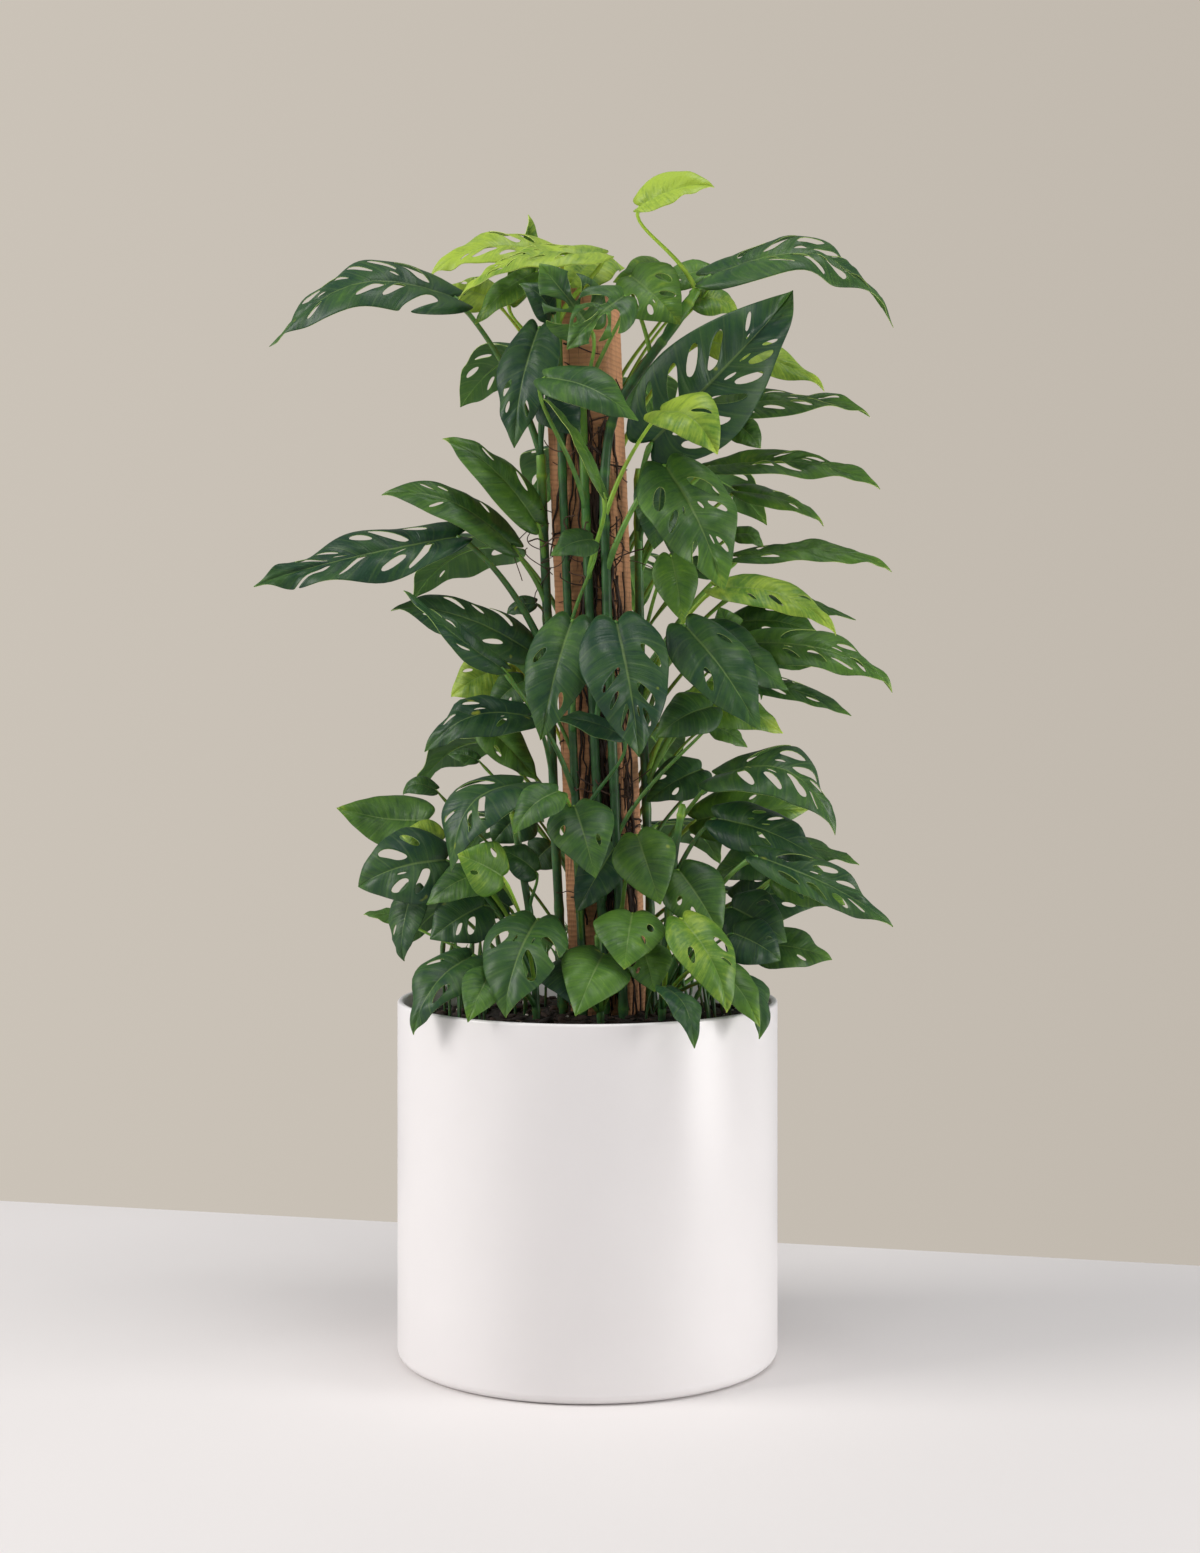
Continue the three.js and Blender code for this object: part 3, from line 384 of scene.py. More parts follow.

# A leaf's row gives, in millimetres and degrees: base x, y, z | tip x, y, z | width | lean of its face from
# straight up | compass turn of that lean, 0 towards the front and 90 to the right | rise of the midrib over
# its chord, as a share of it | how holed it is, 0 whole to 5 torn into fingers | tone, 0 old and dark to 1
# new, raised past the leaf's age on some leaves on the plant's right as painted light | fold at the midrib,
# if it differs
LEAVES = {
    "vine_left": (
        (-105, -10, 834, -248, -25, 792, 74, 42, 0, 0.24, 4, 0.15),
        (-38, -36, 806, -57, -54, 711, 50, 80, -25, 0.08, 2, 0.1),
        (-28, -44, 815, -52, -58, 838, 30, 60, 0, 0.2, 0, 0.1),
        (-40, -14, 656, -112, -25, 724, 46, 42, 0, 0.1, 2, 0.45),
        (-59, -10, 638, -163, -15, 681, 46, 38, 0, 0.15, 2, 0.35),
        (-103, -15, 645, -261, -30, 607, 60, 42, 0, 0.02, 4, 0.1),
        (-46, -4, 556, -155, -12, 592, 56, 44, 0, 0.1, 2, 0.2),
        (-44, -28, 504, -128, -40, 477, 46, 42, 0, 0.22, 3, 0.1),
    ),
    "vine_front_left": (
        (10, -18, 866, -103, -32, 832, 60, 25, 0, 0.12, 3, 0.9),
        (-41, -14, 853, -88, -18, 811, 32, 40, 0, 0.1, 0, 0.6),
        (-32, -26, 752, -6, -36, 722, 36, 75, 0, 0.1, 0, 0.05),
        (-12, -75, 577, -35, -100, 487, 54, 86, -15, 0.08, 1, 0.25),
        (-66, -64, 542, -139, -68, 602, 36, 22, 0, -0.04, 1, 0.15),
        (-50, -6, 532, -76, -10, 508, 34, 50, 0, 0.12, 1, 0.3),
        (26, -55, 490, -27, -66, 503, 42, 24, 0, 0.08, 0, 0.05),
        (4, -60, 640, -28, -74, 627, 30, 60, 0, 0.16, 0, 0.3),
        (-10, -88, 437, 6, -122, 385, 52, 72, 0, 0.2, 1, 0.3),
        (-22, -106, 449, -56, -118, 418, 34, 50, 0, 0.22, 0, 0.35),
    ),
    "vine_front_mid": (
        (3, -56, 802, -37, -72, 850, 52, 62, -20, 0.06, 5, 0.38),
        (28, -68, 826, -16, -86, 783, 46, 60, 20, 0.14, 5, 0.38),
        (-32, -84, 762, 38, -100, 727, 44, 52, 0, 0.14, 1, 0.32),
        (12, -62, 676, -32, -68, 750, 26, 40, 60, 0.05, 0, 0.55),
        (22, -82, 576, 39, -112, 475, 70, 86, 10, 0.08, 4, 0.1),
        (20, -50, 402, -9, -66, 354, 36, 74, 0, 0.08, 1, 0.1),
        (6, -38, 411, 18, -48, 432, 18, 60, 0, 0.06, 0, 0.7),
    ),
    "vine_front_right": (
        (41, -22, 903, 98, -38, 918, 46, 44, 0, 0.08, 0, 1, 30),
        (97, -24, 849, 244, -10, 812, 68, 36, 0, 0.26, 4, 0.28),
        (34, -25, 848, 72, -44, 808, 56, 78, 0, 0.1, 3, 0.6),
        (56, -62, 738, 99, -92, 703, 54, 44, 0, 0.24, 3, 0.85, 26),
        (60, -58, 697, 103, -100, 600, 72, 80, 15, 0.1, 4, 0.4),
        (75, -60, 574, 130, -90, 494, 60, 76, 20, 0.08, 2, 0.2),
        (97, -45, 512, 52, -58, 488, 42, 58, 0, 0.16, 0, 0.3),
        (38, -72, 414, 55, -94, 363, 50, 62, -10, 0.16, 1, 0.45),
    ),
    # Painted light: the tones of these leaves are raised past their age for the brighter light on the
    # plant's right.
    "vine_right": (
        (50, -38, 717, 161, -60, 831, 86, 86, 15, 0.05, 4, 0.12),
        (103, 10, 750, 225, 0, 748, 44, 36, 0, 0.05, 3, 0.42),
        (98, 8, 702, 234, 0, 688, 44, 28, 0, 0.08, 3, 0.47),
        (58, -22, 692, 52, -32, 634, 42, 80, 10, 0.06, 1, 0.17),
        (74, -6, 670, 74, -22, 620, 36, 84, 0, 0.06, 0, 0.42),
        (122, 2, 630, 242, -6, 622, 40, 24, 0, 0.08, 2, 0.47),
        (101, -25, 605, 195, -50, 570, 42, 38, 0, 0.14, 2, 0.75),
        (65, -42, 628, 73, -56, 577, 36, 84, 10, 0.06, 1, 0.52),
        (80, -35, 568, 155, -48, 524, 50, 58, 0, 0.12, 1, 0.22),
        (130, -18, 562, 242, -32, 528, 50, 42, 0, 0.12, 4, 0.47),
        (80, -18, 516, 153, -14, 490, 48, 46, 0, 0.16, 0, 0.7),
        (101, -30, 458, 194, -62, 415, 78, 50, 35, 0.3, 4, 0.27),
        (91, 14, 461, 46, -8, 436, 44, 58, 0, 0.1, 2, 0.22),
    ),
    "vine_back_right": (
        (95, 30, 806, 192, 20, 768, 40, 50, 0, 0.04, 0, 0.85),
        (66, 4, 846, 20, -8, 846, 44, 58, 0, 0.26, 0, 0.6),
        (84, 22, 838, 122, 26, 828, 44, 44, 0, 0.14, 1, 0.7),
        (94, 14, 858, 46, 34, 840, 40, 44, 0, 0.12, 2, 0.52),
        (118, 32, 738, 139, 28, 718, 28, 60, 0, 0.16, 0, 0.47),
        (121, 30, 684, 193, 38, 659, 34, 32, 0, 0.08, 1, 0.52),
        (118, 38, 650, 143, 46, 640, 26, 40, 0, 0.2, 0, 0.42),
        (120, 28, 602, 216, 36, 580, 34, 22, 0, 0.06, 1, 0.32),
        (83, 30, 618, 104, 52, 628, 32, 44, 0, 0.1, 0, 0.32),
        (112, 14, 568, 104, 2, 590, 28, 70, 0, 0.24, 0, 0.52),
        (118, 30, 578, 188, 22, 566, 46, 48, 0, 0.14, 2, 0.42),
        (120, 24, 550, 206, 22, 543, 32, 34, 0, 0.06, 1, 0.42),
        (120, 32, 534, 213, 34, 504, 32, 32, 0, 0.06, 2, 0.37),
        (98, 22, 496, 128, 26, 478, 24, 40, 0, 0.1, 0, 0.42),
        (87, 24, 420, 178, 30, 428, 46, 66, 0, 0.1, 1, 0.6),
        (34, 92, 782, 64, 182, 745, 66, 55, 170, 0.16, 2, 0.32),
        (76, 72, 700, 152, 132, 664, 62, 55, 150, 0.16, 2, 0.32),
        (30, 98, 632, 44, 192, 590, 68, 58, 180, 0.14, 2, 0.32),
        (80, 78, 560, 152, 142, 520, 62, 55, 140, 0.16, 2, 0.32),
        (42, 98, 490, 72, 182, 448, 62, 58, 170, 0.14, 0, 0.32),
    ),
    "vine_back_left": (
        (-24, 28, 874, -128, 18, 858, 58, 34, 0, 0.14, 3, 1),
        (-64, 60, 842, -45, 54, 910, 34, 88, 48, 0.03, 0, 0.7, 44),
        (-14, 64, 856, 30, 92, 872, 54, 35, 0, 0.28, 0, 0.8),
        (-76, 26, 838, -124, 42, 846, 46, 48, 0, 0.1, 2, 0.9),
        (-64, 20, 545, -110, 14, 520, 46, 68, 0, 0.08, 2, 0.8),
        (-84, 24, 498, -40, 16, 452, 34, 60, 0, 0.08, 1, 0.5),
        (-42, 36, 594, -66, 42, 586, 24, 40, 0, 0.12, 0, 0.2),
        (-122, 30, 444, -150, 36, 440, 22, 40, 0, 0.3, 0, 0.3),
        (-88, 28, 468, -112, 34, 472, 18, 40, 0, 0.1, 0, 0.3),
        (-50, 26, 428, -76, 16, 402, 44, 68, 0, 0.1, 1, 0.15),
        (-30, 40, 398, -46, 42, 380, 34, 60, 0, 0.1, 0, 0.2),
        (-42, 84, 800, -108, 142, 764, 68, 55, -150, 0.16, 2, 0.2),
        (-14, 100, 722, -44, 192, 680, 68, 58, -170, 0.14, 2, 0.2),
        (-64, 72, 642, -148, 124, 602, 66, 55, -145, 0.16, 2, 0.2),
        (-24, 98, 562, -56, 186, 520, 66, 58, -170, 0.14, 2, 0.2),
        (-70, 78, 482, -146, 132, 440, 62, 55, -145, 0.16, 0, 0.2),
    ),
    "shoot_left": (
        (-50, -50, 453, -104, -82, 387, 78, 52, -40, 0.28, 4, 0.15),
        (-127, 4, 421, -199, 10, 431, 50, 56, 0, -0.1, 0, 0.5),
        (-110, -32, 392, -180, -42, 372, 68, 62, 0, 0.16, 4, 0.15),
        (-114, -14, 406, -146, -18, 410, 32, 60, 0, 0.12, 0, 0.8),
        (-64, -94, 384, -97, -110, 402, 44, 68, 0, 0.1, 1, 0.65),
        (-40, -44, 384, -70, -50, 402, 32, 50, 0, 0.12, 0, 0.2),
        (-76, -52, 384, -123, -64, 360, 38, 42, 0, 0.14, 0, 0.35),
        (-136, -28, 370, -145, -40, 314, 38, 80, -40, 0.06, 2, 0.25),
        (-147, 2, 344, -178, 8, 347, 22, 24, 0, 0.04, 0, 0.45),
        (-80, -46, 358, -121, -58, 333, 50, 60, 0, 0.1, 3, 0.15),
        (-62, -14, 354, -100, -8, 370, 36, 52, 0, 0.12, 0, 0.15),
        (-88, -75, 322, -133, -112, 268, 48, 62, -20, 0.2, 2, 0.2),
    ),
    "shoot_front": (
        (34, -90, 356, 27, -130, 318, 56, 56, 0, 0.14, 1, 0.55),
        (-38, -95, 352, -63, -138, 284, 66, 72, -15, 0.14, 4, 0.3),
        (-72, -108, 314, -88, -144, 282, 34, 72, 0, 0.12, 0, 0.4),
        (-14, -92, 320, -4, -130, 288, 50, 60, 0, 0.14, 3, 0.1),
        (12, -98, 326, -9, -146, 286, 54, 74, 0, 0.16, 0, 0.45),
        (42, -92, 330, 50, -118, 300, 40, 74, 0, 0.12, 1, 0.5),
    ),
    "shoot_right": (
        (100, -38, 425, 184, -50, 390, 48, 52, 0, 0.12, 3, 0.15),
        (130, -72, 398, 235, -70, 345, 40, 46, 0, 0.06, 3, 0.25),
        (150, -14, 396, 98, -22, 378, 42, 52, 0, 0.1, 1, 0.3),
        (148, -34, 379, 199, -44, 358, 40, 54, 0, 0.12, 3, 0.45),
        (70, -70, 387, 101, -86, 339, 50, 70, 0, 0.12, 1, 0.4),
        (71, -104, 353, 106, -134, 287, 48, 70, 20, 0.14, 2, 0.7),
        (58, -122, 304, 78, -168, 266, 28, 74, 30, 0.16, 0, 0.15),
        (86, -86, 318, 128, -128, 276, 38, 66, 25, 0.18, 0, 0.5),
        (108, -78, 310, 130, -122, 266, 36, 70, 40, 0.2, 0, 0.2),
        (130, -20, 325, 192, -22, 314, 42, 52, 0, 0.1, 2, 0.35),
        (112, -40, 356, 154, -50, 330, 52, 62, 0, 0.1, 3, 0.15),
        (112, -62, 338, 148, -70, 318, 42, 60, 0, 0.12, 1, 0.1),
    ),
    "shoot_back": (
        (118, 22, 356, 195, 22, 358, 48, 56, 0, 0.12, 2, 0.2),
        (148, 18, 402, 218, 22, 385, 28, 30, 0, 0.06, 0, 0.3),
        (-50, 92, 418, -108, 150, 380, 60, 55, -150, 0.16, 2, 0.2),
        (0, 116, 398, 0, 196, 356, 62, 58, 180, 0.16, 2, 0.2),
        (58, 104, 412, 114, 162, 376, 58, 55, 145, 0.16, 2, 0.2),
        (-82, 62, 352, -150, 102, 312, 58, 56, -130, 0.16, 1, 0.2),
        (92, 64, 358, 164, 98, 330, 56, 56, 120, 0.16, 0, 0.2),
        (-34, 112, 328, -52, 172, 276, 52, 62, -165, 0.2, 0, 0.2),
        (38, 112, 324, 54, 172, 278, 52, 62, 165, 0.2, 1, 0.2),
    ),
}

BLADE_THICK = 0.45 * MM
BLADE_SWEEP = 0.64
BLADE_LOBE = 0.07
# A blade's half width, as a share of half the leaf's width: at the stalk, how much it gains after that and
# within what share of the length, and how it narrows to the tip.
STALK_WIDTH = 0.61
WIDTH_GAIN = 1.11
GAIN_WITHIN = 0.2
TIP_TAPER = 1.25
BLADE_FOLD = 14
BLADE_DROOP = 20
VEIN_SPACING = 16 * MM
VEINS_FEWEST = 5
VEINS_MOST = 10
# The relief below is that of a full grown leaf, 110 mm long. Smaller leaves have less of it.
FULL_GROWN = 110 * MM
VEIN_SINK = 1.7 * MM
MIDRIB_SINK = 0.9 * MM
MIDRIB_HALF_WIDTH = 2.2 * MM
MARGIN_WAVE = 4.5 * MM
# The least and most that a leaf draws: waves along its margin, and their depth, less for a young leaf.
WAVES = (1.1, 2.6)
WAVE_DEPTHS = (0.3, 1.2)
YOUNG_CALM = 0.6
CRUMPLE = 1.1 * MM
CRUMPLE_SWELLS = 4
TORN_CRUMPLE = 3
TWIST = 20
TIP_CURL = (-0.02, 0.08)
TIP_STARTS = 0.72
TIP_HALF_WIDTH = 0.4 * MM
CALM_HALF_WIDTH = 9 * MM
# How holed a leaf has to be to count as well holed, and as torn into fingers.
WELL_HOLED = 3
FINGERED = 5
# By how holed a leaf is: the share of its cells with a hole, and the share of these torn open to the rim.
HOLED_SHARE = (0, 0.3, 0.5, 0.72, 0.85, 1)
TORN_SHARE = (0, 0, 0.03, 0.06, 0.08, 0.6)
# Of the holes in a well holed leaf, this share reaches in to the midrib, and the next has a small hole
# beside it.
LONG_SHARE = 0.45
PAIRED_SHARE = 0.35
HOLES_END = 0.76
HOLE_RIM = 0.1
SMALL_HOLE_RIM = 0.3
HOLE_SLANT = 9
MOUTH_PINCH = 0.25
# Cuts across half a blade: the strip beside the midrib, the small holes, the large ones, and the rim.
ACROSS_CUTS = (0, 0.13, 0.34, 0.86, 1)


def leaf_axes(row):
    """A leaf's base, its chord and normal, its side, and its sizes, from its row."""
    base = Vector(row[0:3]) * MM
    chord = Vector(row[3:6]) * MM - base
    length = chord.length
    chord.normalize()
    lean = math.radians(row[7])
    compass = math.radians(row[8])
    face = Vector((math.sin(lean) * math.sin(compass), -math.sin(lean) * math.cos(compass), math.cos(lean)))
    normal = (face - chord * face.dot(chord)).normalized()
    return {"base": base, "chord": chord, "normal": normal, "side": chord.cross(normal), "length": length,
            "width": row[6] * MM, "bow": row[9], "holed": row[10], "tone": row[11],
            "fold": row[12] if len(row) > 12 else BLADE_FOLD,
            "veins": max(VEINS_FEWEST, min(VEINS_MOST, round(length / VEIN_SPACING)))}


def cut_sheet(leaves, draw):
    """Each blade as a flat sheet: along its midrib in x, out to its margins in y, and its number in z.

    The holes are cells between two side veins, inset and taken out, so that the rounding makes them ovals.
    """
    bm = bmesh.new()
    half_cuts = len(ACROSS_CUTS) - 1
    for number, leaf in enumerate(leaves):
        veins = leaf["veins"]
        holed = leaf["holed"]
        sheet = bmesh.ops.create_grid(bm, x_segments=veins, y_segments=2 * half_cuts, size=0.5)["verts"]
        for vert in sheet:
            cut = round(vert.co.y * 2 * half_cuts)
            vert.co = (vert.co.x + 0.5, math.copysign(ACROSS_CUTS[abs(cut)], cut), number)
        cells = {}
        for face in {face for vert in sheet for face in vert.link_faces}:
            middle = face.calc_center_median()
            column = int(middle.x * veins)
            band = sum(abs(middle.y) > cut for cut in ACROSS_CUTS) - 1
            cells[column, band, middle.y > 0] = face
        for right in (False, True):
            for column in range(1, int(HOLES_END * veins)):
                if draw.random() > HOLED_SHARE[holed]:
                    continue
                kind = draw.random()
                gone = [cells[column, 2, right]]
                if (kind < LONG_SHARE and holed >= WELL_HOLED) or holed == FINGERED:
                    gone.append(cells[column, 1, right])
                elif kind > 1 - PAIRED_SHARE and holed >= WELL_HOLED:
                    beside = [cells[column, 1, right]]
                    open_hole(bm, beside, SMALL_HOLE_RIM / veins, 0.8, draw.uniform(0.6, 1))
                if draw.random() < TORN_SHARE[holed]:
                    gone.append(cells[column, 3, right])
                narrowest = 0.8 if holed == FINGERED else 0.4
                longest = 0.65 + 0.1 * holed
                open_hole(bm, gone, HOLE_RIM / veins, draw.uniform(narrowest, narrowest + 0.4),
                          draw.uniform(longest - 0.3, longest))
    return bm


def open_hole(bm, faces, rim, narrow, short):
    """Draws a rim inside the faces, makes the rest narrower, shorter and slanted, and takes it out."""
    bmesh.ops.inset_region(bm, faces=faces, thickness=rim, use_even_offset=True)
    corners = list(dict.fromkeys(vert for face in faces for vert in face.verts))
    mouth = [vert for vert in corners if vert.is_boundary]
    middle = sum((vert.co for vert in corners), Vector()) / len(corners)
    about = Matrix.Translation(-middle)
    bmesh.ops.scale(bm, vec=(narrow, 1 if mouth else short, 1), space=about, verts=corners)
    bmesh.ops.scale(bm, vec=(MOUTH_PINCH, 1, 1), space=about, verts=mouth)
    for vert in corners:
        vert.co.x += HOLE_SLANT * (abs(vert.co.y) - abs(middle.y)) * rim
    bmesh.ops.delete(bm, geom=faces, context="FACES")


def rounded(bm, levels):
    """The flat sheets subdivided, as a mesh, with their corners and holes rounded."""
    mesh = bpy.data.meshes.new("sheets")
    bm.to_mesh(mesh)
    bm.free()
    sheets = bpy.data.objects.new("sheets", mesh)
    bpy.context.scene.collection.objects.link(sheets)
    smooth = sheets.modifiers.new("smooth", "SUBSURF")
    smooth.levels = levels
    smooth.render_levels = levels
    smooth.boundary_smooth = "ALL"
    smoothed = bpy.data.meshes.new_from_object(sheets.evaluated_get(bpy.context.evaluated_depsgraph_get()))
    bpy.data.objects.remove(sheets)
    bpy.data.meshes.remove(mesh)
    return smoothed


def relief_size(length):
    """How deep a leaf's relief is against that of a full grown one."""
    return np.clip(length / FULL_GROWN, 0.4, 1.3)


def tip_share(s):
    """None as far as the tip's start, and 1 at the tip itself."""
    return np.clip((s - TIP_STARTS) / (1 - TIP_STARTS), 0, 1)


def shaped(flat, leaves, draw):
    """Where the flat sheets' points lie on the arched, folded and waved blades."""
    number = np.rint(flat[:, 2]).astype(int)

    def each(key):
        return np.array([leaf[key] for leaf in leaves], float)[number]

    def drawn(least, most):
        return np.array([draw.uniform(least, most) for _ in leaves])[number]

    # s runs along the midrib, with the side veins moved a little, and t out to the margin.
    s = np.clip(flat[:, 0], 0, 1)
    for i, leaf in enumerate(leaves):
        even = np.linspace(0, 1, leaf["veins"] + 1)
        moved = even + np.array([0, *(draw.uniform(-0.3, 0.3) for _ in even[1:-1]), 0]) / leaf["veins"]
        s[number == i] = np.interp(s[number == i], even, moved)
    t = np.abs(flat[:, 1])
    sign = np.where(flat[:, 1] < 0, -1.0, 1.0)

    # The outline: two lobes behind the stalk, full a quarter of the way along, and drawn out to a point.
    length, width, bow, veins = each("length"), each("width"), each("bow"), each("veins")
    back_lobe = BLADE_LOBE * np.sin(math.pi * t) * (1 - s) ** 4
    along = s + BLADE_SWEEP * s * (1 - s) * t - back_lobe
    full = STALK_WIDTH + WIDTH_GAIN * (1 - np.exp(-s / GAIN_WITHIN))
    half = width / 2 * (1 - s) ** TIP_TAPER * full + TIP_HALF_WIDTH * s ** 4
    x = length * along
    y = half * t

    # The relief: waves at the margin, quilting between the veins, crumple, and the groove over the midrib.
    phase = drawn(0, math.tau)
    waves = drawn(*WAVES)
    depth = drawn(*WAVE_DEPTHS) * (1 - YOUNG_CALM * each("tone"))
    twist = np.radians(drawn(-TWIST, TWIST)) * s ** 1.5
    size = relief_size(length)
    fade = np.sin(math.pi * np.clip(s * 0.93 + 0.07, 0, 1)) ** 0.5 * np.minimum(1, half / CALM_HALF_WIDTH)
    wave = MARGIN_WAVE * depth * size * t ** 2 * fade * np.sin(math.tau * waves * s + phase + sign * 0.9)
    between = np.abs(np.sin(math.pi * s * veins)) - 0.6
    quilt = VEIN_SINK * size * between * np.sin(math.pi * t ** 0.7) * fade
    crumple = np.zeros(len(s))
    for _ in range(CRUMPLE_SWELLS):
        swells = [(draw.uniform(1.5, 5), draw.uniform(-1.4, 1.4), draw.uniform(0, math.tau))
                  for _ in leaves]
        per_length, per_half, start = np.array(swells)[number].T
        crumple += np.sin(math.tau * (per_length * s + per_half * flat[:, 1]) + start)
    torn = np.where(each("holed") == FINGERED, TORN_CRUMPLE, 1)
    crumple *= CRUMPLE / 2 * size * torn * fade * np.minimum(1, 4 * t)
    groove = -MIDRIB_SINK * size * np.exp(-(y / MIDRIB_HALF_WIDTH) ** 2) * (1 - s)
    lift = wave + quilt + crumple + groove
    curl = -each("curl") * length * tip_share(s) ** 2

    # The blade's two halves folded at the midrib, twisted about it, and arched over the chord.
    turn = math.pi * along
    base, chord, normal, side = each("base"), each("chord"), each("normal"), each("side")
    up = normal - chord * (math.pi * bow * np.cos(turn))[:, None]
    up /= np.linalg.norm(up, axis=1)[:, None]
    fold = np.radians(each("fold") - BLADE_DROOP * t ** 2)
    out = sign * (y * np.cos(fold) - lift * np.sin(fold) * (t > 0))
    rise = y * np.sin(fold) + lift * np.cos(fold) + curl
    return (base + chord * x[:, None] + normal * (length * bow * np.sin(turn))[:, None]
            + side * (out * np.cos(twist) - rise * np.sin(twist))[:, None]
            + up * (out * np.sin(twist) + rise * np.cos(twist))[:, None])


def blades(leaves, draw):
    """All the blades of one vine, with where each point lies on its leaf kept for the material."""
    mesh = rounded(cut_sheet(leaves, draw), 2)
    flat = np.zeros(len(mesh.vertices) * 3)
    mesh.vertices.foreach_get("co", flat)
    flat = flat.reshape(-1, 3)
    number = np.rint(flat[:, 2]).astype(int)
    tones = np.array([leaf["tone"] for leaf in leaves])[number]
    veins = np.array([leaf["veins"] for leaf in leaves])[number]
    for name, values in (("tone", tones), ("along", flat[:, 0]), ("across", flat[:, 1]),
                         ("vein", flat[:, 0] * veins), ("leaf", number * 0.37)):
        mesh.attributes.new(name, "FLOAT", "POINT").data.foreach_set("value", values.astype(np.float32))
    mesh.vertices.foreach_set("co", shaped(flat, leaves, draw).ravel())
    bm = bmesh.new()
    bm.from_mesh(mesh)
    bpy.data.meshes.remove(mesh)
    bmesh.ops.remove_doubles(bm, verts=bm.verts, dist=0.04 * MM)
    bmesh.ops.reverse_faces(bm, faces=bm.faces)
    return bm


def set_stops(ramp, *stops):
    """Gives a colour ramp its stops, each a position and a hex colour."""
    elements = ramp.color_ramp.elements
    elements.remove(elements[1])
    elements[0].color = colour(stops[0][1])
    for position, hex_value in stops[1:]:
        elements.new(position).color = colour(hex_value)


def leaf_colour(add, greens, pale):
    """The green of a leaf by its age, with its own small change of shade, and its pale veins.

    The shade drifts over 28 mm and has specks of 2.5 mm. Rare yellow blemishes are some millimetres across,
    at least 16 mm apart. Streaks run along the side veins, seven to the space between two: partly the
    leaf's own streaks and partly painted sheen, pale lines for the soft shine along the quilting.
    """
    place = add("TexCoord", {}).outputs["Object"]
    tone, along, across, vein, leaf = (
        add("Attribute", {}, attribute_name=name).outputs["Fac"]
        for name in ("tone", "along", "across", "vein", "leaf"))
    patch = add("TexNoise", {"Vector": place, "Scale": 1 / (28 * MM), "Detail": 4.0})
    narrowing = add("Math", {0: 1.0, 1: along}, operation="SUBTRACT")
    reach = add("Math", {0: across, 1: narrowing}, operation="MULTIPLY")
    spot = add("CombineXYZ", {"X": vein, "Y": reach, "Z": leaf})
    drawn = add("Mapping", {"Vector": spot, "Scale": (7.0, 2.0, 3.0)})
    streak = add("TexNoise", {"Vector": drawn, "Scale": 1.0, "Detail": 5.0, "Roughness": 0.6})
    speck = add("TexNoise", {"Vector": place, "Scale": 1 / (2.5 * MM), "Detail": 3.0})
    # Painted sheen: the streaks' strong contrast also draws pale lines for the shine along the quilting.
    streaks_and_painted_sheen = add("Math", {0: streak, 1: 0.9, 2: patch}, operation="MULTIPLY_ADD")
    shade = add("Math", {0: speck, 1: 0.25, 2: streaks_and_painted_sheen}, operation="MULTIPLY_ADD")
    own = add("MapRange",
              {"Value": shade, "From Min": 0.68, "From Max": 1.48, "To Min": -0.3, "To Max": 0.3})
    tip = add("MapRange", {"Value": along, "From Min": TIP_STARTS, "From Max": 1.0, "To Max": 0.28})
    tipped = add("Math", {0: tone, 1: tip}, operation="ADD")
    age = add("Math", {0: tipped, 1: own}, operation="ADD")
    ramp = add("ValToRGB", {"Fac": age})
    set_stops(ramp, *zip((0.0, 0.3, 0.65, 1.0), greens))
    blemish = add("TexNoise", {"Vector": place, "Scale": 1 / (16 * MM), "Detail": 1.0})
    spotted = add("MapRange", {"Value": blemish, "From Min": 0.76, "From Max": 0.82, "To Max": 0.7})
    aged = add("Mix", {"Factor": spotted, "A": ramp, "B": "#C3CC38"}, data_type="RGBA")
    beside = add("Math", {0: vein, 1: 0.5}, operation="PINGPONG")
    line = add("MapRange", {"Value": beside, "From Min": 0.06, "From Max": 0.0, "To Max": 0.12},
               interpolation_type="SMOOTHSTEP")
    out = add("Math", {0: across}, operation="ABSOLUTE")
    rib = add("MapRange", {"Value": out, "From Min": 0.045, "From Max": 0.012, "To Max": 0.42},
              interpolation_type="SMOOTHSTEP")
    veined = add("Math", {0: line, 1: rib}, operation="MAXIMUM")
    green = add("Mix", {"Factor": veined, "A": aged, "B": pale}, data_type="RGBA")
    return green, patch, streak


def lit_through(add, green, surface):
    """A fifth of the light that the surface would give back comes through the blade, in its own green."""
    glow = add("BsdfTranslucent", {"Color": green})
    both = add("MixShader", {0: 0.2, 1: surface, 2: glow})
    add("OutputMaterial", {"Surface": both})


# A leaf's upper side: waxy and leathery, so it shines softly in the light. Dark blue green when old, yellow
# green when new. Under strong light some comes through the blade, in the same green as it reflects.
leaf_upper, add = new_material("waxy_leaf_upper_side")
green, patch, streak = leaf_colour(add, ("#1E432D", "#385E2A", "#5B862B", "#ABC544"), "#88A55A")
along = add("Attribute", {}, attribute_name="along").outputs["Fac"]
fading = add("MapRange", {"Value": along, "From Min": 0.4, "From Max": 0.9, "To Min": 0.6, "To Max": 0.0})
bump = add("Bump", {"Height": streak, "Strength": fading, "Distance": 1.2 * MM})
gloss = add("MapRange", {"Value": patch, "To Min": 0.34, "To Max": 0.54})
wax = add("BsdfPrincipled", {"Base Color": green, "Roughness": gloss, "Normal": bump, "IOR": 1.45})
lit_through(add, green, wax)

# Its underside: paler and greyer, without the wax, so it is matt, and its veins stand out.
leaf_under, add = new_material("matt_leaf_underside")
green = leaf_colour(add, ("#44693F", "#55803F", "#71A343", "#BAD55C"), "#A9C27A")[0]
dull = add("BsdfPrincipled", {"Base Color": green, "Roughness": 0.6, "IOR": 1.4})
lit_through(add, green, dull)

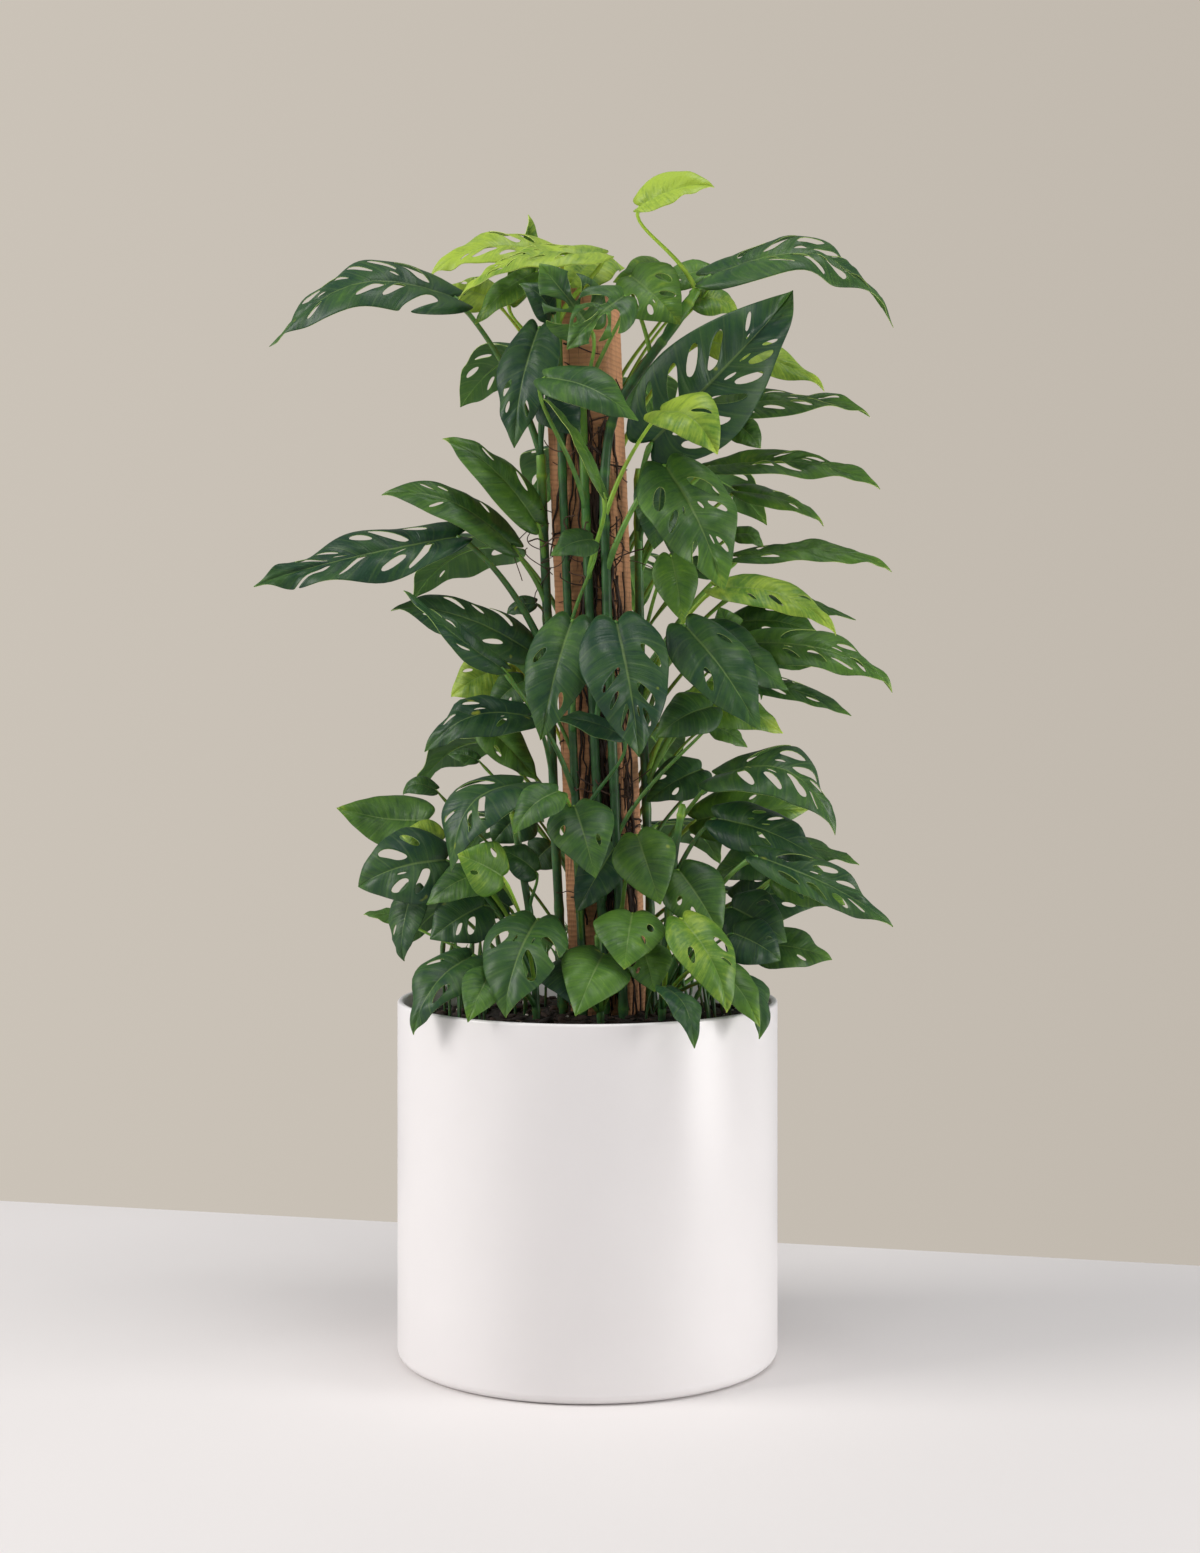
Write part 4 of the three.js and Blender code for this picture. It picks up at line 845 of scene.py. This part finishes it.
# The blade's edge: a fine rim without green in it, pale yellow.
leaf_rim, add = new_material("pale_leaf_rim")
tone = add("Attribute", {}, attribute_name="tone").outputs["Fac"]
edge = add("Mix", {"Factor": tone, "A": "#7E9E55", "B": "#CBDD6A"}, data_type="RGBA")
shader = add("BsdfPrincipled", {"Base Color": edge, "Roughness": 0.5})
add("OutputMaterial", {"Surface": shader})

# Stems, stalks and midribs: where they join, how finely they are drawn, and their radii. The radius of a
# stalk or a midrib grows with the length of its leaf.
STEM_SPAN_STEPS = 16
STEM_FOOT_MARGIN = 8 * MM
STEM_TOP_MARGIN = 2 * MM
NODE_SPACING = 38 * MM
NODE_HALF_WIDTH = 1.6 * MM
STEM_TIP_STARTS = 0.75
PETIOLE_SHORTEST = 15 * MM
PETIOLE_RISE = 1.15
PETIOLE_STEP = 6 * MM
PETIOLE_THINNEST = 0.9 * MM
LENGTH_PER_STALK = 105
MIDRIB_ENDS = 0.9
MIDRIB_STEPS = 14
MIDRIB_THINNEST = 0.5 * MM
LENGTH_PER_MIDRIB = 190


def bent(start, first_pull, last_pull, end, steps):
    """Points on a Bezier curve from start to end, bent towards two points between them."""
    line = []
    for i in range(steps + 1):
        u = i / steps
        pull = first_pull * (1 - u) + last_pull * u
        line.append(start * (1 - u) ** 3 + pull * 3 * u * (1 - u) + end * u ** 3)
    return line


def smooth_line(points, per_span):
    """A smooth line through points, as the stems climb: a centripetal spline with its ends drawn on."""
    ends = [points[0] * 2 - points[1], *points, points[-1] * 2 - points[-2]]
    line = []
    for a, b, c, d in zip(ends, ends[1:], ends[2:], ends[3:]):
        ab, bc, cd = ((q - p).length ** 0.5 for p, q in ((a, b), (b, c), (c, d)))
        slope_b = ((b - a) / ab - (c - a) / (ab + bc) + (c - b) / bc) * bc
        slope_c = ((c - b) / bc - (d - b) / (bc + cd) + (d - c) / cd) * bc
        line += bent(b, b + slope_b / 3, c - slope_c / 3, c, per_span)[:-1]
    return line + [points[-1]]


def point_at(line, height):
    """Where a climbing line passes a height."""
    for low, high in zip(line, line[1:]):
        if high.z >= height:
            return low.lerp(high, (height - low.z) / max(high.z - low.z, 1e-9))
    return line[-1]


def bump_at(distance, half_width):
    """1 at no distance, and soon nothing on either side."""
    return math.exp(-(distance / half_width) ** 2)


def tube(bm, path, radii, tones, sides):
    """Adds a closed round tube, drawn out ring by ring along a path."""
    pipe = bmesh.new()
    tone = pipe.verts.layers.float.new("tone")
    heading = (path[1] - path[0]).normalized()
    turn = heading.to_track_quat("Z", "Y")
    place = Matrix.LocRotScale(path[0], turn, Vector((radii[0],) * 3))
    ring = bmesh.ops.create_circle(pipe, cap_ends=True, segments=sides, radius=1, matrix=place)["verts"]
    edges = list(pipe.edges)
    for vert in ring:
        vert[tone] = tones[0]
    for i in range(1, len(path)):
        after = path[min(i + 1, len(path) - 1)] - path[i - 1]
        turn = heading.rotation_difference(after.normalized()) @ turn
        heading = after.normalized()
        following = Matrix.LocRotScale(path[i], turn, Vector((radii[i],) * 3))
        drawn = bmesh.ops.extrude_edge_only(pipe, edges=edges)["geom"]
        ring = [item for item in drawn if isinstance(item, bmesh.types.BMVert)]
        edges = [item for item in drawn if isinstance(item, bmesh.types.BMEdge)
                 and item.verts[0] in ring and item.verts[1] in ring]
        bmesh.ops.transform(pipe, matrix=following @ place.inverted(), verts=ring)
        place = following
        for vert in ring:
            vert[tone] = tones[i]
    bmesh.ops.contextual_create(pipe, geom=edges)
    bmesh.ops.recalc_face_normals(pipe, faces=pipe.faces)
    joined(bm, pipe)


def petiole_line(leaf, stem):
    """The stalk's line from the blade's base to the stem, which it leaves steeply before it levels out."""
    lowest = SOIL_TOP + STEM_FOOT_MARGIN
    highest = stem[-1].z - STEM_TOP_MARGIN
    base = leaf["base"]
    foot = point_at(stem, min(max(base.z - PETIOLE_SHORTEST, lowest), highest))
    for _ in range(3):
        out = (base.xy - foot.xy).length
        foot = point_at(stem, min(max(base.z - PETIOLE_SHORTEST - PETIOLE_RISE * out, lowest), highest))
    reach = (base - foot).length
    entry = (leaf["chord"] + leaf["normal"] * math.pi * leaf["bow"]).normalized()
    up = Vector((0, 0, reach))
    near_blade = base - entry * 0.18 * reach - up * 0.12
    near_stem = foot.lerp(base, 0.25) + up * 0.2
    return bent(base, near_blade, near_stem, foot, max(10, min(26, round(reach / PETIOLE_STEP))))


def petiole(bm, leaf, stem):
    """One stalk, with its knee just behind the blade and its sheath clasping the stem."""
    line = petiole_line(leaf, stem)
    slim = PETIOLE_THINNEST + leaf["length"] / LENGTH_PER_STALK
    radii = []
    tones = []
    for i in range(len(line)):
        share = i / (len(line) - 1)
        knee = 0.35 * bump_at(share - 0.1, 0.05)
        sheath = 0.55 * share ** 2
        neck = 0.3 * bump_at(share, 0.04)
        radii.append(slim * (0.85 + knee + sheath - neck))
        tones.append(min(1, leaf["tone"] * 0.75 + 0.12 + 0.2 * (1 - share)))
    tube(bm, line, radii, tones, sides=8)


def midrib(bm, leaf):
    """The rib under a blade, from the stalk's end to near the tip, where it fades out."""
    length = leaf["length"]
    line = []
    radii = []
    for i in range(MIDRIB_STEPS + 1):
        s = i / MIDRIB_STEPS * MIDRIB_ENDS
        turn = math.pi * s
        up = (leaf["normal"] - leaf["chord"] * math.pi * leaf["bow"] * math.cos(turn)).normalized()
        curl = leaf["curl"] * length * tip_share(s) ** 2
        radius = (MIDRIB_THINNEST + length / LENGTH_PER_MIDRIB) * (1 - 0.8 * s)
        groove = MIDRIB_SINK * relief_size(length) * (1 - s)
        line.append(leaf["base"] + leaf["chord"] * length * s
                    + leaf["normal"] * length * leaf["bow"] * math.sin(turn)
                    - up * (curl + groove + radius * 0.75))
        radii.append(radius)
    tube(bm, line, radii, [min(1, 0.4 + 0.5 * leaf["tone"])] * len(line), sides=6)


def climbing_stem(bm, line, radius):
    """The stem itself, a little thicker at each ring where a leaf grew."""
    travelled = 0.0
    radii = []
    tones = []
    for i, point in enumerate(line):
        if i:
            travelled += (point - line[i - 1]).length
        beside = abs((travelled / NODE_SPACING + 0.5) % 1 - 0.5) * NODE_SPACING
        young = max(0, (i / len(line) - STEM_TIP_STARTS) / (1 - STEM_TIP_STARTS))
        radii.append(radius * (0.92 + 0.2 * bump_at(beside, NODE_HALF_WIDTH)))
        tones.append(0.16 + 0.5 * young + 0.25 * bump_at(beside, NODE_HALF_WIDTH + 0.4 * MM))
    radii[-1] = radius * 0.5
    tube(bm, line, radii, tones, sides=12)


# Stems and stalks: smooth, firm and fleshy, so they shine a little. The old stems are dull blue green, the
# young stalks bright yellow green, mottled at 7 mm, with fine lines 1 mm apart and eight times as long.
fleshy_stalk, add = new_material("fleshy_green_stalk")
tone = add("Attribute", {}, attribute_name="tone").outputs["Fac"]
place = add("TexCoord", {}).outputs["Object"]
mottle = add("TexNoise", {"Vector": place, "Scale": 1 / (7 * MM), "Detail": 4.0})
own = add("MapRange", {"Value": mottle, "To Min": -0.2, "To Max": 0.2})
age = add("Math", {0: tone, 1: own}, operation="ADD")
ramp = add("ValToRGB", {"Fac": age})
set_stops(ramp, (0.0, "#22392E"), (0.3, "#3C6B34"), (0.6, "#6B9A38"), (1.0, "#A6C840"))
fine = add("Mapping", {"Vector": place, "Scale": (1, 1, 0.12)})
lines = add("TexNoise", {"Vector": fine, "Scale": 1 / (1 * MM)})
bump = add("Bump", {"Height": lines, "Strength": 0.08, "Distance": 0.3 * MM})
shader = add("BsdfPrincipled",
             {"Base Color": ramp, "Roughness": 0.42, "Normal": bump, "Subsurface Weight": 0.08,
              "IOR": 1.42})
add("OutputMaterial", {"Surface": shader})

for order, (name, rows) in enumerate(LEAVES.items()):
    draw = random.Random(100 + order)
    radius, points = STEMS[name]
    leaves = [leaf_axes(row) for row in rows]
    for leaf in leaves:
        leaf["curl"] = draw.uniform(*TIP_CURL)
    stem = smooth_line([Vector(point) * MM for point in points], STEM_SPAN_STEPS)

    foliage = finished(blades(leaves, draw), name + "_leaves", leaf_upper, leaf_under, leaf_rim)
    wall = foliage.modifiers.new("thickness", "SOLIDIFY")
    wall.thickness = BLADE_THICK
    wall.offset = 0
    wall.material_offset = 1
    wall.material_offset_rim = 2
    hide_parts(name)

    bm = toned_mesh()
    climbing_stem(bm, stem, radius * MM)
    for leaf in leaves:
        petiole(bm, leaf, stem)
        midrib(bm, leaf)
    stalks = finished(bm, name + "_stalks", fleshy_stalk)


# Young shoots: short stalks that come up through the mix in the shade at the plant's foot, each with its
# one leaf still rolled up to a spear at its end. They are as firm and fleshy as the other stalks, and lean
# out to the light. They stand in the back half and at the sides, and take the dark tones of old stalks,
# darkest at the mix: painted shade that fills the gaps between the leaves above the mix.
YOUNG_SHOOTS = 64
SHOOT_TALLEST = 78 * MM
SHOOT_SUNK = 4 * MM
SHOOT_RADIUS = 1.2 * MM
SHOOT_RINGS = 14
SHOOTS_PAST_SIDES = 0.6
SHOOTS_FROM = 45
SHOOTS_TO = 118
SHOOT_LEAN_TO = 122 * MM
SHOOT_BEND = 12 * MM
SPEAR_WIDEST = 0.72

draw = random.Random(21)
bm = toned_mesh()
for _ in range(YOUNG_SHOOTS):
    around = draw.uniform(-SHOOTS_PAST_SIDES, math.pi + SHOOTS_PAST_SIDES)
    far = draw.uniform(SHOOTS_FROM, SHOOTS_TO) * MM
    outwards = Vector((math.cos(around), math.sin(around), 0))
    foot = outwards * far + Vector((0, 0, SOIL_TOP - SHOOT_SUNK))
    tall = draw.uniform(0.4, 1) * SHOOT_TALLEST
    lean = outwards * draw.uniform(-0.3, 0.5) * (SHOOT_LEAN_TO - far)
    aside = Vector((draw.uniform(-1, 1), draw.uniform(-1, 1), 0)) * SHOOT_BEND
    path = []
    radii = []
    tones = []
    for i in range(SHOOT_RINGS + 1):
        u = i / SHOOT_RINGS
        path.append(foot + Vector((0, 0, tall * u)) + lean * u ** 2 + aside * math.sin(math.pi * u) * u)
        spear = max(0, 1 - abs(u - SPEAR_WIDEST) / (1 - SPEAR_WIDEST))
        radii.append(SHOOT_RADIUS * (1 + 0.9 * spear if u < SPEAR_WIDEST else 0.15 + 1.75 * spear))
        # Painted shade: dark old-stalk tones, darkest at the mix, where young shoots would be pale green.
        tones.append(0.1 + 0.3 * u)
    tube(bm, path, radii, tones, sides=6)
shoots = finished(bm, "young_shoots", fleshy_stalk)


# Aerial roots: wiry brown roots, about a millimetre thick, that the stems send out at their rings. They
# dry, cling to the rough timber, run round and down it, and tangle where several stems pass close together.
ROOT_RADIUS = 0.6 * MM
# Roots cut the post's corners: this is how far out they go there, in halves of its side.
CORNER_REACH = 1.3
# Roots that run round the post: the heights where they start and their drift up or down in millimetres,
# and how far round they go in radians.
WRAPPING_ROOTS = 40
WRAP_HEIGHTS = (330, 800)
WRAP_SWEEP = (0.7, 2.6)
WRAP_DRIFT = (-22, 14)
# Roots that hang down its face: the heights of their tops and their lengths in millimetres.
HANGING_ROOTS = 90
HANG_HEIGHTS = (380, 760)
HANG_LENGTHS = (60, 190)
# Where round the post they hang, in radians: the middle of its front face, their spread, and their lean.
HANG_MIDDLE = -1.15
HANG_SPREAD = 0.4
HANG_LEAN = 0.6
# Loose ends that stand off to the left, from this far beside the post's middle.
LOOSE_ROOTS = 6
LOOSE_HEIGHTS = (590, 700)
LOOSE_START = Vector((-32, -20, 0)) * MM
LOOSE_SAG = Vector((-9, 0, 0)) * MM
# Tangles in front of the post: how wide each spreads in metres, its height in millimetres, and its roots.
TANGLES = ((0.034, 632, 30), (0.026, 540, 12), (0.026, 452, 12), (0.022, 716, 8), (0.026, 372, 12))
TANGLE_FRONT = -34 * MM
TANGLE_LENGTHS = (16, 34)
ROOT_STEPS = 20
TANGLE_STEPS = 14
BENDS_SEED = 5

# Dry roots: corky and dull, from nearly black to straw brown where the skin has split, in patches of 3 mm.
corky_root, add = new_material("dry_corky_root")
tone = add("Attribute", {}, attribute_name="tone").outputs["Fac"]
place = add("TexCoord", {}).outputs["Object"]
cork = add("TexNoise", {"Vector": place, "Scale": 1 / (3 * MM), "Detail": 3.0})
skin = add("Mix", {"Factor": tone, "A": "#140D0A", "B": "#6B4930"}, data_type="RGBA")
split = add("Mix", {"Factor": cork, "A": skin, "B": "#35241A"}, data_type="RGBA")
shader = add("BsdfPrincipled", {"Base Color": split, "Roughness": 0.75})
add("OutputMaterial", {"Surface": shader})


def on_post(angle, height, proud):
    """A point that stands proud of the post's rough face, at an angle round the post and a height."""
    across = Vector((math.cos(angle), math.sin(angle)))
    reach = (STAKE_SIDE / 2) / max(abs(across.x), abs(across.y))
    corner = min(reach, STAKE_SIDE / 2 * CORNER_REACH)
    flat = Matrix.Rotation(STAKE_TURN, 2) @ (across * (corner + proud))
    middle = stake_middle(height)
    return Vector((middle.x + flat.x, middle.y + flat.y, height))


# Blender would seed these bends from the clock, and the roots have to be the same on each run.
noise.seed_set(BENDS_SEED)


def wandering(path, draw, size, bend=14 * MM):
    """The path with small bends, another set for each root."""
    shift = Vector([draw.uniform(0, 50) for _ in range(3)])
    return [point + size * noise.noise_vector(point / bend + shift) for point in path]


draw = random.Random(7)
shares = [i / ROOT_STEPS for i in range(ROOT_STEPS + 1)]
bm = toned_mesh()
for _ in range(WRAPPING_ROOTS):
    height = draw.uniform(*WRAP_HEIGHTS) * MM
    start = draw.uniform(-math.pi, 0)
    sweep = draw.choice((-1, 1)) * draw.uniform(*WRAP_SWEEP)
    drift = draw.uniform(*WRAP_DRIFT) * MM
    path = [on_post(start + sweep * u, height + drift * u, proud=1.2 * MM) for u in shares]
    thick = ROOT_RADIUS * draw.uniform(0.7, 1.6)
    radii = [thick * (1 - 0.5 * u) for u in shares]
    path = wandering(path, draw, size=2.4 * MM)
    tube(bm, path, radii, [draw.uniform(0, 0.5)] * len(path), sides=5)
for _ in range(HANGING_ROOTS):
    top = draw.uniform(*HANG_HEIGHTS) * MM
    angle = draw.gauss(HANG_MIDDLE, HANG_SPREAD)
    long = draw.uniform(*HANG_LENGTHS) * MM
    lean = draw.uniform(-HANG_LEAN, HANG_LEAN)
    path = [on_post(angle + lean * u, max(top - long * u, SOIL_TOP), proud=1.8 * MM) for u in shares]
    thick = ROOT_RADIUS * draw.uniform(1, 3.4)
    radii = [thick * (1 - 0.6 * u) for u in shares]
    path = wandering(path, draw, size=3.2 * MM)
    tube(bm, path, radii, [draw.uniform(0, 0.35)] * len(path), sides=6)
for _ in range(LOOSE_ROOTS):
    start = stake_middle(draw.uniform(*LOOSE_HEIGHTS) * MM) + LOOSE_START
    fall = Vector((draw.uniform(-26, 6), draw.uniform(-12, 12), draw.uniform(-70, 20))) * MM
    path = [start + fall * u + LOOSE_SAG * math.sin(math.pi * u) for u in shares]
    path = wandering(path, draw, size=12 * MM, bend=30 * MM)
    tube(bm, path, [ROOT_RADIUS * 0.7] * len(path), [draw.uniform(0.2, 0.7)] * len(path), sides=5)
shares = [i / TANGLE_STEPS for i in range(TANGLE_STEPS + 1)]
for spread, height, count in TANGLES:
    for _ in range(count):
        beside = Vector((draw.gauss(0, spread / 2), TANGLE_FRONT, draw.gauss(0, spread / 3)))
        middle = stake_middle(height * MM) + beside
        way = Vector((draw.uniform(-1, 1), draw.uniform(-0.3, 0.3), draw.uniform(-0.5, 0.5))).normalized()
        long = draw.uniform(*TANGLE_LENGTHS) * MM
        path = wandering([middle + way * long * (u - 0.5) for u in shares], draw, size=9 * MM)
        radii = [ROOT_RADIUS * draw.uniform(0.5, 1.2)] * len(path)
        tube(bm, path, radii, [draw.uniform(0, 0.9)] * len(path), sides=5)
roots = finished(bm, "aerial_roots", corky_root)


# Studio: a plain pale floor that ends a little way behind the pot, in front of a warm grey that painted
# shade darkens a little to the right. A broad light stands to the left and in front, a weaker one fills
# from the right, and one above models the leaves.
FLOOR_FRONT = -3.0
FLOOR_BACK = 0.42
FLOOR_SKEW = math.radians(-13.8)
FLOOR_HALF_WIDTH = 6.0
FLOOR_THICK = 0.04
FLOOR_EDGE = 0.003
# Each light: its place, its side in metres, its watts and tint, and the height on the plant that it faces.
LIGHTS = {
    "key_light": ((-2.4, -0.7, 1.6), 1.4, 54, "#FFFCFA", 0.45),
    "fill_light": ((2.2, -0.75, 0.48), 0.8, 27, "#FFFDFC", 0.7),
    "top_light": ((0.3, -0.5, 2.7), 0.9, 22, "#FFFFFF", 0.45),
}

# Painted board: pale and matt, with a faint mottle a third of a metre across.
pale_board, add = new_material("pale_painted_board")
place = add("TexCoord", {}).outputs["Object"]
mottle = add("TexNoise", {"Vector": place, "Scale": 3.0, "Detail": 2.0})
paint = add("Mix", {"Factor": mottle, "A": "#E5E1E0", "B": "#E9E5E4"}, data_type="RGBA")
shader = add("BsdfPrincipled", {"Base Color": paint, "Roughness": 0.7})
add("OutputMaterial", {"Surface": shader})

bm = block((2 * FLOOR_HALF_WIDTH, FLOOR_BACK - FLOOR_FRONT, FLOOR_THICK), FLOOR_EDGE, 2)
bmesh.ops.translate(bm, vec=(0, (FLOOR_FRONT + FLOOR_BACK) / 2, -FLOOR_THICK / 2), verts=bm.verts)
bmesh.ops.rotate(bm, cent=(0, 0, 0), matrix=Matrix.Rotation(FLOOR_SKEW, 3, "Z"), verts=bm.verts)
mesh = bpy.data.meshes.new("studio_floor")
bm.to_mesh(mesh)
bm.free()
mesh.materials.append(pale_board)
floor = bpy.data.objects.new("studio_floor", mesh)
bpy.context.scene.collection.objects.link(floor)

# The surroundings: the eye sees a warm grey with painted shade, a little darker to the right, where less
# studio light falls, and the plant gets the neutral light of a white room.
scene = bpy.context.scene
scene.view_settings.view_transform = "Standard"
studio = bpy.data.worlds.new("warm_grey_studio")
scene.world = studio
studio.use_nodes = True
studio.node_tree.nodes.clear()
add = partial(add_node, studio)
seen = add("LightPath", {}).outputs["Is Camera Ray"]
heading = add("TexCoord", {}).outputs["Generated"]
sideways = add("SeparateXYZ", {"Vector": heading}).outputs["X"]
# Painted shade: the backdrop's grey darkens towards the right, where less studio light falls.
painted_shade_rightwards = add("MapRange", {"Value": sideways, "From Min": -0.25, "From Max": 0.25})
wall = add("Mix", {"Factor": painted_shade_rightwards, "A": "#CBC3B8", "B": "#C1B9AE"}, data_type="RGBA")
grey = add("Background", {"Color": wall, "Strength": 1.0})
white = add("Background", {"Color": "#DCDCDC", "Strength": 0.48})
around = add("MixShader", {0: seen, 1: white, 2: grey})
add("OutputWorld", {"Surface": around})

for name, (place, side, watts, tint, faced) in LIGHTS.items():
    lamp = bpy.data.lights.new(name, "AREA")
    lamp.size = side
    lamp.energy = watts
    lamp.color = colour(tint)[:3]
    holder = bpy.data.objects.new(name, lamp)
    holder.location = place
    holder.rotation_euler = (Vector((0, 0, faced)) - Vector(place)).to_track_quat("-Z", "Y").to_euler()
    scene.collection.objects.link(holder)

# Camera: level and 2 m in front, as the pot's rim and foot show, its horizon above the picture's centre.
CAMERA_DISTANCE = 2.0
CAMERA_HEIGHT = 0.536
SENSOR_WIDTH = 36
IMAGE_WIDTH = 1200
IMAGE_HEIGHT = 1553
FOCAL_PIXELS = 2527
HORIZON_PIXELS = (587.5, 675)

camera_data = bpy.data.cameras.new("camera")
camera_data.sensor_width = SENSOR_WIDTH
camera_data.lens = SENSOR_WIDTH * FOCAL_PIXELS / IMAGE_HEIGHT
camera_data.shift_x = (IMAGE_WIDTH / 2 - HORIZON_PIXELS[0]) / IMAGE_HEIGHT
camera_data.shift_y = -(IMAGE_HEIGHT / 2 - HORIZON_PIXELS[1]) / IMAGE_HEIGHT
camera = bpy.data.objects.new("camera", camera_data)
camera.location = (0, -CAMERA_DISTANCE, CAMERA_HEIGHT)
camera.rotation_euler = (math.radians(90), 0, 0)
scene.collection.objects.link(camera)
scene.camera = camera
